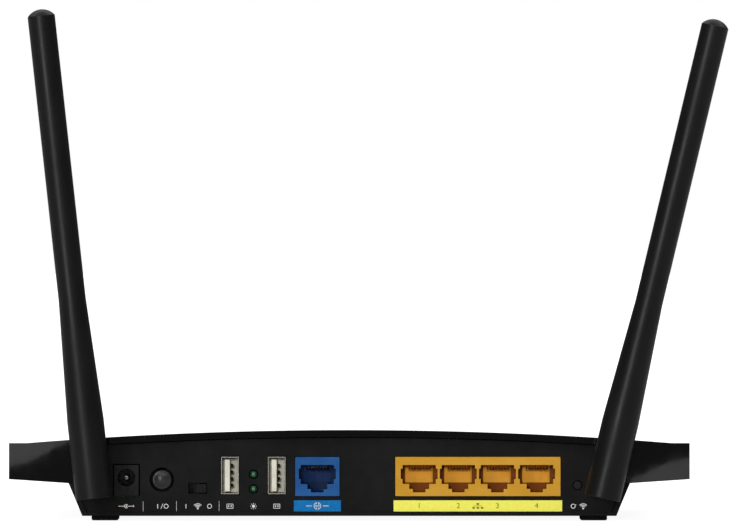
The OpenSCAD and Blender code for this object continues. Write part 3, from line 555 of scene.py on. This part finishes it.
makeCover()
refine("bottom_case", mats["case"], 0.35, 3)
refine("rear_panel", mats["panel"], 0.15)
refine("rubber_feet", mats["rubber"], 0.6, 3)
print("casing")

# Sockets

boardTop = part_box("main_board")[1].z / mm
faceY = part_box("rear_panel")[0].y / mm
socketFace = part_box("lan_jack")[0].y / mm
lanLow, lanHigh = (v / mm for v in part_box("lan_jack"))
wanLow, wanHigh = (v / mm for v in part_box("wan_jack"))
contact = {
    "count": 8, "pitch": 1.02, "width": 0.45, "thickness": 0.3, "openingTop": 11.1, "socketPitch": 13.97,
}
comb = {"width": 0.5, "setBack": 2.6, "depth": 1.6, "drop": 1.2}
# painted shade: where the sockets' walls start and end darkening, in mm, and the dark colour for each
# plastic
socketPaintedShade = {"start": 0.3, "end": 2.2, "orange": "#7E4004", "blue": "#072348"}
for name in ("orange", "blue"):  # painted shade: the walls' colour darkens inwards, standing in for the shade where little light reaches
    paintShadeInwards(mats[name], socketFace + socketPaintedShade["start"], socketFace + socketPaintedShade["end"], socketPaintedShade[name])


def contactMesh():  # a sprung contact: up over its bend at the front, then sloping down to the back
    line = [(13.9, -2.3), (4.6, -1.6), (3.6, -1.3), (2.7, -0.55), (2.1, -0.25), (1.7, -0.35), (1.5, -0.9)]
    half = contact["thickness"] / 2
    sideX = contact["width"] / 2
    shape = bmesh.new()
    rows = []
    for i, (y, z) in enumerate(line):
        before, after = line[max(i - 1, 0)], line[min(i + 1, len(line) - 1)]
        run = Vector((after[0] - before[0], after[1] - before[1])).normalized()
        for sign in (-1, 1):
            point = (y - sign * run.y * half, z + sign * run.x * half)
            rows.append([shape.verts.new(Vector((x, *point)) * mm) for x in (-sideX, sideX)])
    pairs = [(rows[i], rows[i + 1]) for i in range(0, len(rows), 2)]
    for (a, b), (c, d) in zip(pairs, pairs[1:]):
        for q in ((a, c), (d, b)):
            shape.faces.new([q[0][0], q[0][1], q[1][1], q[1][0]])
        shape.faces.new([a[0], c[0], d[0], b[0]])
        shape.faces.new([a[1], b[1], d[1], c[1]])
    for a, b in (pairs[0], pairs[-1]):
        shape.faces.new([a[0], a[1], b[1], b[0]])
    return toMesh(shape, "contact", 60)


def combMesh():  # one tooth of the comb that keeps the contacts apart
    shape = bmesh.new()
    addBox(shape, Vector((-comb["width"] / 2, comb["setBack"], -comb["drop"])) * mm,
           Vector((comb["width"] / 2, comb["setBack"] + comb["depth"], 0.05)) * mm)
    return toMesh(shape, "tooth")


insert = {"half": 4.9, "low": 4.6, "high": 10.6, "depth": 13.4, "thickness": 0.5,
          "ribs": 4, "ribWidth": 0.35, "ribDepth": 0.6, "ribSpread": 0.86, "ribFoot": 0.4, "ribTop": 0.8}


def insertMesh():  # the contact carrier at the back of a socket, with thin guide ribs
    shape = bmesh.new()
    back = insert["depth"] + insert["thickness"]
    addBox(shape, Vector((-insert["half"], insert["depth"], insert["low"])) * mm,
           Vector((insert["half"], back, insert["high"])) * mm)
    for k in range(insert["ribs"]):
        x = insert["half"] * (2 * k / (insert["ribs"] - 1) - 1) * insert["ribSpread"]
        half = insert["ribWidth"] / 2
        front = insert["depth"] - insert["ribDepth"]
        addBox(shape, Vector((x - half, front, insert["low"] + insert["ribFoot"])) * mm,
               Vector((x + half, insert["depth"] + 0.1, insert["high"] - insert["ribTop"])) * mm)
    return toMesh(shape, "insert")


def dressSocket(name, node, contactNode, material, carrier, centre, rows):
    refine(node, material, 0.18)
    step = contact["pitch"] * mm
    count = contact["count"]
    nextSocket = (contact["socketPitch"] * mm, 0, 0)
    start = Vector((centre, socketFace, boardTop + contact["openingTop"])) * mm
    pins = repeated(name + "Contacts", contactMesh(), "casing", mats["gold"],
                    start - Vector(((count - 1) / 2 * step, 0, 0)), count, (step, 0, 0), rows, nextSocket)
    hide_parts(contactNode)
    repeated(name + "Comb", combMesh(), "casing", material,
             start - Vector(((count - 2) / 2 * step, 0, 0)), count - 1, (step, 0, 0), rows, nextSocket)
    repeated(name + "Carrier", insertMesh(), "casing", carrier,
             Vector((centre, socketFace, boardTop)) * mm, 1, (0, 0, 0), rows, nextSocket)


wanCentre = (wanLow.x + wanHigh.x) / 2
lanFirst = (lanLow.x + lanHigh.x) / 2 - 1.5 * contact["socketPitch"]
dressSocket("internet", "wan_jack", "wan_contacts", mats["blue"], mats["navy"], wanCentre, 1)
dressSocket("ethernet", "lan_jack", "lan_contacts", mats["orange"], mats["amber"], lanFirst, 4)
usbSpring = {
    "width": 1.05, "thickness": 0.25, "bow": 0.95, "bowLength": 6.5,
    "length": 8.9, "steps": 12, "pitch": 2.35,
}


def usbSpringMesh():  # lies flat on the tongue at the back and bows away from it near the front
    half = usbSpring["width"] / 2
    shape = bmesh.new()
    rows = []
    for k in range(usbSpring["steps"] + 1):
        y = usbSpring["length"] * k / usbSpring["steps"]
        out = usbSpring["bow"] * math.sin(math.pi * min(y / usbSpring["bowLength"], 1)) ** 2
        rows.append([shape.verts.new(Vector((x, y, z)) * mm)
                     for x, z in ((out, -half), (out + usbSpring["thickness"], -half),
                                  (out + usbSpring["thickness"], half), (out, half))])
    for a, b in zip(rows, rows[1:]):
        for k in range(4):
            shape.faces.new([a[k], a[(k + 1) % 4], b[(k + 1) % 4], b[k]])
    shape.faces.new(rows[0])
    shape.faces.new(rows[-1])
    return toMesh(shape, "usbSpring", 50)


for number in ("1", "2"):
    refine("usb_shell_" + number, mats["tin"], 0.12)
    refine("usb_tongue_" + number, mats["white"], 0.15)
    low, high = (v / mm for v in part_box("usb_contacts_" + number))
    start = Vector((low.x, low.y, (low.z + high.z) / 2 - 1.5 * usbSpring["pitch"])) * mm
    node = "usb_contacts_" + number
    springs = repeated("usbContacts" + number, usbSpringMesh(), "casing", mats["bronze"],
                       start, 1, (0, 0, 0), 4, (0, 0, usbSpring["pitch"] * mm))
    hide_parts(node)
refine("dc_jack", mats["blackPbt"], 0.2)
refine("dc_pin", mats["nickel"], 0)
print("sockets")

# Buttons and lamps

powerCap = {"radius": 3.45, "depth": 6.6, "edge": 0.6, "dome": 0.9, "rim": 0.15, "chamfer": 0.3, "stem": 3.0}


def makePowerButton():  # a turned cap, domed inside a narrow flat rim, on a square stem
    low, high = (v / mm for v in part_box("power_button"))
    middle = Vector(((low.x + high.x) / 2, low.y, (low.z + high.z) / 2))
    r, edge, dome = powerCap["radius"], powerCap["edge"], powerCap["dome"]
    inner = r - edge - powerCap["rim"]
    profile = [(inner * k / 8, dome * (k / 8) ** 2) for k in range(9)]
    profile.append((inner + powerCap["rim"], dome + 0.02))
    for k in range(1, 7):
        angle = k * math.pi / 12
        profile.append((r - edge + edge * math.sin(angle), dome + edge - edge * math.cos(angle)))
    chamfer = powerCap["chamfer"]
    profile += [(r, powerCap["depth"] - chamfer), (r - chamfer, powerCap["depth"]), (0, powerCap["depth"])]
    shape = bmesh.new()
    addTurned(shape, [(a * mm, b * mm) for a, b in profile], turnTo((0, 1, 0), middle * mm), steps=64)
    half = powerCap["stem"] / 2
    start = middle + Vector((0, powerCap["depth"], 0))
    addBox(shape, (start - Vector((half, 0, half))) * mm,
           Vector((start.x + half, high.y, start.z + half)) * mm)
    mesh = toMesh(shape, "powerButton", 35)
    piece = addPiece("powerButton", mesh, "power_button", mats["grey"])
    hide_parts("power_button")


makePowerButton()
refine("wireless_lever", mats["blackPbt"], 0.12)
refine("reset_button", mats["blackPbt"], 0.2)
# painted highlight: how far the pale disc stands off the lamp's tip, and its turned profile, in mm
lampCore = {"proud": 0.03, "profile": [(0, 0), (0.3, 0.02), (0.48, 0.09), (0.5, 0.5), (0, 0.5)]}
for node in ("usb_led_upper", "usb_led_lower"):
    refine(node, mats["lamp"], 0)
    low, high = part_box(node)
    tip = Vector(((low.x + high.x) / 2, low.y - lampCore["proud"] * mm, (low.z + high.z) / 2))
    shape = bmesh.new()  # painted highlight: a paler green spot on the tip, in place of the glint of light on the dome
    addTurned(shape, [(a * mm, b * mm) for a, b in lampCore["profile"]], turnTo((0, 1, 0), tip), steps=24)
    glintName = node.replace("_", "") + "Core"
    addPiece(glintName, toMesh(shape, "core"), bodyOf[node], mats["lampCore"])
print("buttons")

# Antennas

for side in sides:
    refine("antenna_mast_" + side, mats["antenna"], 0.5, 3)
    refine("antenna_knuckle_" + side, mats["knuckle"], 0.25)
    refine("coupling_nut_" + side, mats["knuckle"], 0.15)
    refine("jack_nut_" + side, mats["nickel"], 0.15)
    refine("antenna_jack_" + side, mats["gold"], 0.1)
    refine("hinge_pin_" + side, mats["zinc"], 0.15)
    refine("antenna_element_" + side, mats["copper"], 0)
    refine("antenna_lead_" + side, mats["antenna"], 0)
print("antennas")


# Printed marks: flat shapes a little proud of their surface, in a plane of their own

def bar(shape, u, v, width, height, thick=0.03):
    addBox(shape, Vector((u - width / 2, v - height / 2, 0)) * mm,
           Vector((u + width / 2, v + height / 2, thick)) * mm)


def ring(shape, u, v, radius, width=0.22, start=0, end=360, squeeze=1.0, thick=0.03):
    steps = max(4, int(abs(end - start) / 12))
    whole = abs(end - start) >= 360
    levels = []
    for k in range(steps + (0 if whole else 1)):
        a = math.radians(start + (end - start) * k / steps)
        section = ((radius - width, 0), (radius, 0), (radius, thick), (radius - width, thick))
        levels.append([shape.verts.new(Vector((u + r * squeeze * math.cos(a), v + r * math.sin(a), w)) * mm)
                       for r, w in section])
    loops = list(zip(levels, levels[1:])) + ([(levels[-1], levels[0])] if whole else [])
    for a, b in loops:
        for k in range(4):
            shape.faces.new([a[k], a[(k + 1) % 4], b[(k + 1) % 4], b[k]])
    if not whole:
        shape.faces.new(levels[0])
        shape.faces.new(levels[-1][::-1])


def inletMark(shape, u, v):
    ring(shape, u, v, 0.75, start=40, end=320)
    ring(shape, u, v, 0.3, 0.28)
    bar(shape, u - 1.35, v, 1.1, 0.2)
    bar(shape, u + 1.2, v, 1.7, 0.2)
    bar(shape, u - 2.4, v, 0.8, 0.2)
    bar(shape, u + 2.5, v, 0.8, 0.2)
    bar(shape, u + 2.5, v, 0.2, 0.8)


def switchMark(shape, u, v):
    bar(shape, u - 1.5, v, 0.25, 1.6)
    ring(shape, u + 1.5, v, 0.85)
    first = len(shape.verts)
    bar(shape, u, v, 0.22, 1.8)
    shape.verts.ensure_lookup_table()
    for vert in shape.verts[first:]:  # leans the stroke
        vert.co.x += (vert.co.y - v * mm) * 0.4


def waveMark(shape, u, v):
    ring(shape, u, v - 0.8, 0.3, 0.28)
    for radius in (0.8, 1.3, 1.8):
        ring(shape, u, v - 0.8, radius, 0.24, 40, 140)


def plugMark(shape, u, v):
    bar(shape, u - 1.1, v, 0.2, 1.7)
    bar(shape, u + 1.1, v, 0.2, 1.7)
    bar(shape, u, v + 0.75, 2.2, 0.2)
    bar(shape, u, v - 0.75, 2.2, 0.2)
    bar(shape, u - 0.45, v, 0.4, 0.55)
    bar(shape, u + 0.45, v, 0.4, 0.55)


def lampMark(shape, u, v):
    ring(shape, u, v, 0.55, 0.5)
    for k in range(8):
        a = math.radians(45 * k)
        bar(shape, u + math.cos(a), v + math.sin(a), 0.25, 0.25)


def turnMark(shape, u, v):
    ring(shape, u, v, 0.85, 0.24, 60, 380)
    bar(shape, u + 0.75, v + 0.45, 0.7, 0.24)


def globeMark(shape, u, v):
    ring(shape, u, v, 1.3, 0.2)
    ring(shape, u, v, 1.3, 0.2, squeeze=0.45)
    bar(shape, u, v, 2.4, 0.18)


def linkMark(shape, u, v):
    for du, dv in ((0, 0.7), (-1.5, -0.7), (0, -0.7), (1.5, -0.7)):
        bar(shape, u + du, v + dv, 0.9, 0.6)
    bar(shape, u, v, 3.2, 0.16)
    bar(shape, u, v + 0.2, 0.16, 0.4)


def digitMesh(text, u, v, size):
    curve = bpy.data.curves.new("digit" + text, "FONT")
    curve.body = text
    curve.size = size * mm
    curve.extrude = 0.015 * mm
    curve.align_x = "CENTER"
    curve.align_y = "CENTER"
    curve.resolution_u = 3
    holder = bpy.data.objects.new("digit", curve)
    scene.collection.objects.link(holder)
    bpy.context.view_layer.update()
    mesh = bpy.data.meshes.new_from_object(holder.evaluated_get(bpy.context.evaluated_depsgraph_get()))
    mesh.transform(Matrix.Translation(Vector((u, v, 0.015)) * mm))
    bpy.data.objects.remove(holder)
    return mesh


def placeMarks(name, shape, plane, material, digits=()):
    for digit in digits:
        shape.from_mesh(digitMesh(*digit))
    bmesh.ops.recalc_face_normals(shape, faces=shape.faces)
    shape.transform(plane)
    addPiece(name, toMesh(shape, name), "casing", material)


def onPanel(proud):  # marks read across +X and up +Z, and stand out towards -Y
    return Matrix(((1, 0, 0, 0), (0, 0, -1, (faceY - proud) * mm), (0, 1, 0, 0), (0, 0, 0, 1)))


def middleX(node):
    low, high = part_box(node)
    return (low.x + high.x) / 2 / mm


marks = {
    "height": 5.25, "labelHeight": 5.35, "digitSize": 2.6, "panelProud": 0.005, "labelProud": 0.15,
    "dividers": (-73.6, -61.7, -46.5), "dividerHeight": 3.6, "dividerWidth": 0.11, "behindLamps": 5,
}


def printPanel():
    shape = bmesh.new()
    z = marks["height"]
    inletMark(shape, middleX("dc_jack"), z)
    switchMark(shape, middleX("power_button"), z)
    lever = middleX("wireless_switch")
    waveMark(shape, lever, z)
    bar(shape, lever - 4.2, z, 0.25, 1.6)
    ring(shape, lever + 4.2, z, 0.85)
    plugMark(shape, middleX("usb_shell_1"), z)
    lampMark(shape, middleX("led_holder"), z)
    plugMark(shape, middleX("usb_shell_2"), z)
    turnMark(shape, middleX("reset_button") - 1.6, z)
    waveMark(shape, middleX("reset_button") + 2.0, z)
    for x in marks["dividers"]:
        bar(shape, x, z, marks["dividerWidth"], marks["dividerHeight"])
    placeMarks("panelMarks", shape, onPanel(marks["panelProud"]), mats["whiteInk"])
    refine("internet_label", mats["blueFilm"], 0.04, 1)
    refine("ethernet_label", mats["yellowFilm"], 0.04, 1)
    z = marks["labelHeight"]
    onLabel = onPanel(marks["labelProud"])
    shape = bmesh.new()
    middle = middleX("internet_label")
    globeMark(shape, middle, z)
    bar(shape, middle - 3, z, 2.0, 0.22)
    bar(shape, middle + 3, z, 2.0, 0.22)
    placeMarks("internetMark", shape, onLabel, mats["whiteInk"])
    shape = bmesh.new()
    linkMark(shape, middleX("ethernet_label"), z)
    digits = [(str(k + 1), lanFirst + k * contact["socketPitch"], z, marks["digitSize"]) for k in range(4)]
    placeMarks("ethernetMarks", shape, onLabel, mats["oliveInk"], digits)


printPanel()


def printCover():  # a small grey pictogram behind each front lamp
    makers = [inletMark, waveMark, waveMark, globeMark, linkMark, linkMark, plugMark, plugMark, turnMark]
    shape = bmesh.new()
    y = frontY - lampRow["fromFront"] - marks["behindLamps"]
    slope = -math.atan(cover["frontDrop"] / (frontY - rearY))
    for k, maker in enumerate(makers):
        start = len(shape.verts)
        maker(shape, 0, 0)
        shape.verts.ensure_lookup_table()
        x = (k - (lampRow["count"] - 1) / 2) * lampRow["pitch"]
        lean = math.asin(x / cover["crownRadius"])
        place = Matrix.Translation(Vector((x, y, crownHeight(x, y) + marks["panelProud"])) * mm)
        place = place @ Matrix.Rotation(lean, 4, "Y") @ Matrix.Rotation(slope + math.pi, 4, "X")
        place = place @ Matrix.Rotation(math.pi, 4, "Y") @ Matrix.Rotation(math.pi, 4, "Z")
        for vert in shape.verts[start:]:
            vert.co = place @ vert.co
    placeMarks("coverMarks", shape, Matrix.Identity(4), mats["greyInk"])


printCover()
refine("rating_label", mats["silverFilm"], 0.04, 1)


def printRating():  # empty frames only
    shape = bmesh.new()
    for u, v, w, h in ((0, 15.2, 60, 0.3), (0, -15.2, 60, 0.3), (-30, 0, 0.3, 30.7), (30, 0, 0.3, 30.7),
                       (0, 7, 60, 0.2), (0, -4, 60, 0.2), (8, -9.6, 0.2, 11)):
        bar(shape, u, v, w, h)
    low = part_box("rating_label")[0].z
    under = Matrix(((1, 0, 0, 0), (0, -1, 0, 0), (0, 0, -1, low - 0.002 * mm), (0, 0, 0, 1)))
    placeMarks("ratingMarks", shape, under, mats["greyInk"])


printRating()
print("marks")

# Front lamps and fasteners

refine("light_guide", mats["acrylic"], 0)
refine("status_leds", mats["ceramic"], 0.05)
caseScrew = {"headRadius": 2.7, "headHeight": 1.8, "shankRadius": 1.45, "shankLength": 12.4}
boardScrew = {"headRadius": 2.6, "headHeight": 1.6, "shankRadius": 1.25, "shankLength": 3.8}
thread = {"pitch": 1.1, "crestTop": 0.2, "crestFoot": 0.4, "rootTop": 0.75, "root": 0.75,
          "point": 0.35, "tip": 0.6}  # root and point are parts of the shank's radius
recess = {"length": 2.6, "width": 0.55, "depth": 0.9}  # in a case screw's head, and in proportion in others
crown = {"side": 0.35, "rise": 0.65}  # of the head's height


def screwMesh(screw):
    # a pan head with a cross recess, then a threaded shank; made head down, with the head's base at z = 0
    radius, height = screw["headRadius"], screw["headHeight"]
    shank, length = screw["shankRadius"], screw["shankLength"]
    profile = [(0, length + thread["tip"]), (shank * thread["point"], length)]
    for k in range(int(length / thread["pitch"]), 0, -1):
        turn = k * thread["pitch"]
        profile += [(shank, turn - thread["crestTop"]), (shank, turn - thread["crestFoot"])]
        profile.append((shank * thread["root"], turn - thread["rootTop"]))
    profile += [(shank * thread["root"], 0), (radius, 0)]
    for k in range(8):
        angle = k * math.pi / 16
        level = -height * (crown["side"] + crown["rise"] * math.sin(angle))
        profile.append((radius * math.cos(angle), level))
    profile.append((0, -height))
    turned = bmesh.new()
    addTurned(turned, [(a * mm, b * mm) for a, b in profile], Matrix.Identity(4), steps=32)
    body = bpy.data.objects.new("screwBody", toMesh(turned, "screwBody"))
    scene.collection.objects.link(body)
    long, wide, deep = (recess[k] * radius / caseScrew["headRadius"] for k in ("length", "width", "depth"))
    bits = []
    for name, x, y in (("bitA", long / 2, wide / 2), ("bitB", wide / 2, long / 2)):
        block = bmesh.new()
        addBox(block, Vector((-x, -y, -height - 1)) * mm, Vector((x, y, deep - height)) * mm)
        bits.append(bpy.data.objects.new(name, toMesh(block, name)))
        scene.collection.objects.link(bits[-1])
        cut = body.modifiers.new("recess", "BOOLEAN")
        cut.object = bits[-1]
        cut.solver = "EXACT"
    mesh = baked(body)
    for thing in [body] + bits:
        bpy.data.objects.remove(thing)
    markEdges(mesh, 30)
    return mesh


def placeScrews(name, node, screw, headUp):  # one at each corner of the node's box
    low, high = (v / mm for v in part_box(node))
    r = screw["headRadius"]
    mesh = screwMesh(screw)
    if headUp:
        mesh.transform(Matrix.Rotation(math.pi, 4, "X"))
    z = high.z - screw["headHeight"] if headUp else low.z + screw["headHeight"]
    start = Vector((low.x + r, low.y + r, z))
    gap = Vector((high.x - low.x - 2 * r, high.y - low.y - 2 * r, 0))
    screws = repeated(name, mesh, "casing", mats["zinc"],
                      start * mm, 2, (gap.x * mm, 0, 0), 2, (0, gap.y * mm, 0))
    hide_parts(node)


placeScrews("caseScrews", "case_screws", caseScrew, False)
placeScrews("boardScrews", "board_screws", boardScrew, True)
print("fasteners")

# Inside

inside = {  # each node's material, and the width of its rounded edges in mm
    "main_board": ("board", 0.1), "power_switch": ("blackPbt", 0.2), "wireless_switch": ("blackPbt", 0.15),
    "reset_switch": ("blackPbt", 0.15), "led_holder": ("blackPbt", 0.15), "main_shield": ("can", 0.25),
    "radio_shield_left": ("can", 0.25), "radio_shield_right": ("can", 0.25),
    "processor_chip": ("chip", 0.12), "memory_chips": ("chip", 0.1), "switch_chip": ("chip", 0.1),
    "heat_sink": ("aluminium", 0.15), "capacitors": ("sleeve", 0.4), "inductors": ("ferrite", 0.6),
    "transformers": ("chip", 0.3),
}
for node, (material, width) in inside.items():
    refine(node, mats[material], width)
print("inside")

# Stage

# the stage's places and sizes are in metres, but the view's centre, frame and sensor are in mm
view = {"distance": 3.0, "centreX": 6.85, "centreZ": 92.6, "frameWidth": 263.1, "sensor": 36.0}
floorPlate = {"half": 60, "z": -0.0002, "colour": "#C6C6C4", "glow": 0.93}
sky = ((0.0, 0.08), (0.42, 0.08), (0.78, 1.3), (1.0, 0.5))  # height from the horizon, 0, to 1, and strength
softboxes = {
    "key": {"place": (-0.84, -2.1, 0.6), "aim": (0, -0.08, 0.05), "size": (0.46, 1.25),
            "power": 10.5, "spin": 0},
    "fill": {"place": (-0.16, -3.0, 0.3), "aim": (0, -0.08, 0.02), "size": (0.25, 0.25),
             "power": 40, "spin": 0},
    "leftCard": {"place": (-0.57, -2.98, 0.45), "aim": (-0.11, -0.08, 0.023), "size": (0.8, 0.4),
                 "power": 0.85, "spin": 25.5},  # the cards are dim, and only the polished wings mirror them
    "rightCard": {"place": (0.49, -2.98, 0.11), "aim": (0.11, -0.08, 0.023), "size": (0.5, 0.17),
                  "power": 0.2, "spin": 17},
}


def makeFloor():  # an opal acrylic table lit from below, even and white to the eye
    mesh = bpy.data.meshes.new("floor")
    half, z = floorPlate["half"], floorPlate["z"]
    corners = [(-half, -half, z), (half, -half, z), (half, half, z), (-half, half, z)]
    mesh.from_pydata(corners, [], [(0, 1, 2, 3)])
    floor = bpy.data.objects.new("floor", mesh)
    scene.collection.objects.link(floor)
    table = newMaterial("acrylicOpalTable", floorPlate["colour"], 0.9, Emission_Color=(1, 1, 1, 1))
    tree = table.node_tree
    seen = addNode(tree, "ShaderNodeLightPath")  # the glow is for the eye only, so the underside stays dark
    glow = addNode(tree, "ShaderNodeMath", {"operation": "MULTIPLY", 1: floorPlate["glow"]},
                   {0: seen.outputs["Is Camera Ray"]})
    tree.links.new(glow.outputs[0], tree.nodes["Principled BSDF"].inputs["Emission Strength"])
    mesh.materials.append(table)


def addSoftbox(name, values):
    data = bpy.data.lights.new(name, "AREA")
    data.shape = "RECTANGLE"
    data.size = values["size"][0]
    data.size_y = values["size"][1]
    data.energy = values["power"]
    lamp = bpy.data.objects.new(name, data)
    scene.collection.objects.link(lamp)
    lamp.location = values["place"]
    lamp.rotation_euler = (Vector(values["aim"]) - lamp.location).to_track_quat("-Z", "Y").to_euler()
    lamp.rotation_euler.rotate_axis("Z", math.radians(values["spin"]))
    lamp.visible_camera = False
    return lamp


def makeLights():
    for name, values in softboxes.items():
        lamp = addSoftbox(name, values)
        if name == "fill":  # it reaches into the sockets and leaves no glare
            lamp.visible_glossy = False
    world = bpy.data.worlds.new("studio")
    scene.world = world
    world.use_nodes = True
    tree = world.node_tree
    back = tree.nodes["Background"]
    back.inputs["Color"].default_value = (1, 1, 1, 1)
    direction = addNode(tree, "ShaderNodeTexCoord").outputs["Generated"]
    rise = addNode(tree, "ShaderNodeSeparateXYZ", links={0: direction})
    glow = addNode(tree, "ShaderNodeFloatCurve", links={"Value": rise.outputs["Z"]})
    curve = glow.mapping.curves[0]
    glow.mapping.clip_max_y = 3
    for height, strength in sky[1:-1]:
        curve.points.new(height, strength)
    curve.points[0].location = sky[0]
    curve.points[-1].location = sky[-1]
    for point in curve.points:
        point.handle_type = "VECTOR"
    glow.mapping.update()
    seen = addNode(tree, "ShaderNodeLightPath")
    shown = addNode(tree, "ShaderNodeMix", {"data_type": "FLOAT", "B": 1.0},
                    {"Factor": seen.outputs["Is Camera Ray"], "A": glow.outputs[0]})
    tree.links.new(shown.outputs["Result"], back.inputs["Strength"])


def makeCamera():
    data = bpy.data.cameras.new("camera")
    data.sensor_width = view["sensor"]
    data.lens = view["sensor"] * view["distance"] / (view["frameWidth"] * mm)
    data.clip_end = 200
    camera = bpy.data.objects.new("camera", data)
    scene.collection.objects.link(camera)
    camera.location = (view["centreX"] * mm, faceY * mm - view["distance"], view["centreZ"] * mm)
    camera.rotation_euler = (math.pi / 2, 0, 0)
    scene.camera = camera


makeFloor()
makeLights()
makeCamera()
scene.view_settings.view_transform = "Standard"
print("stage")
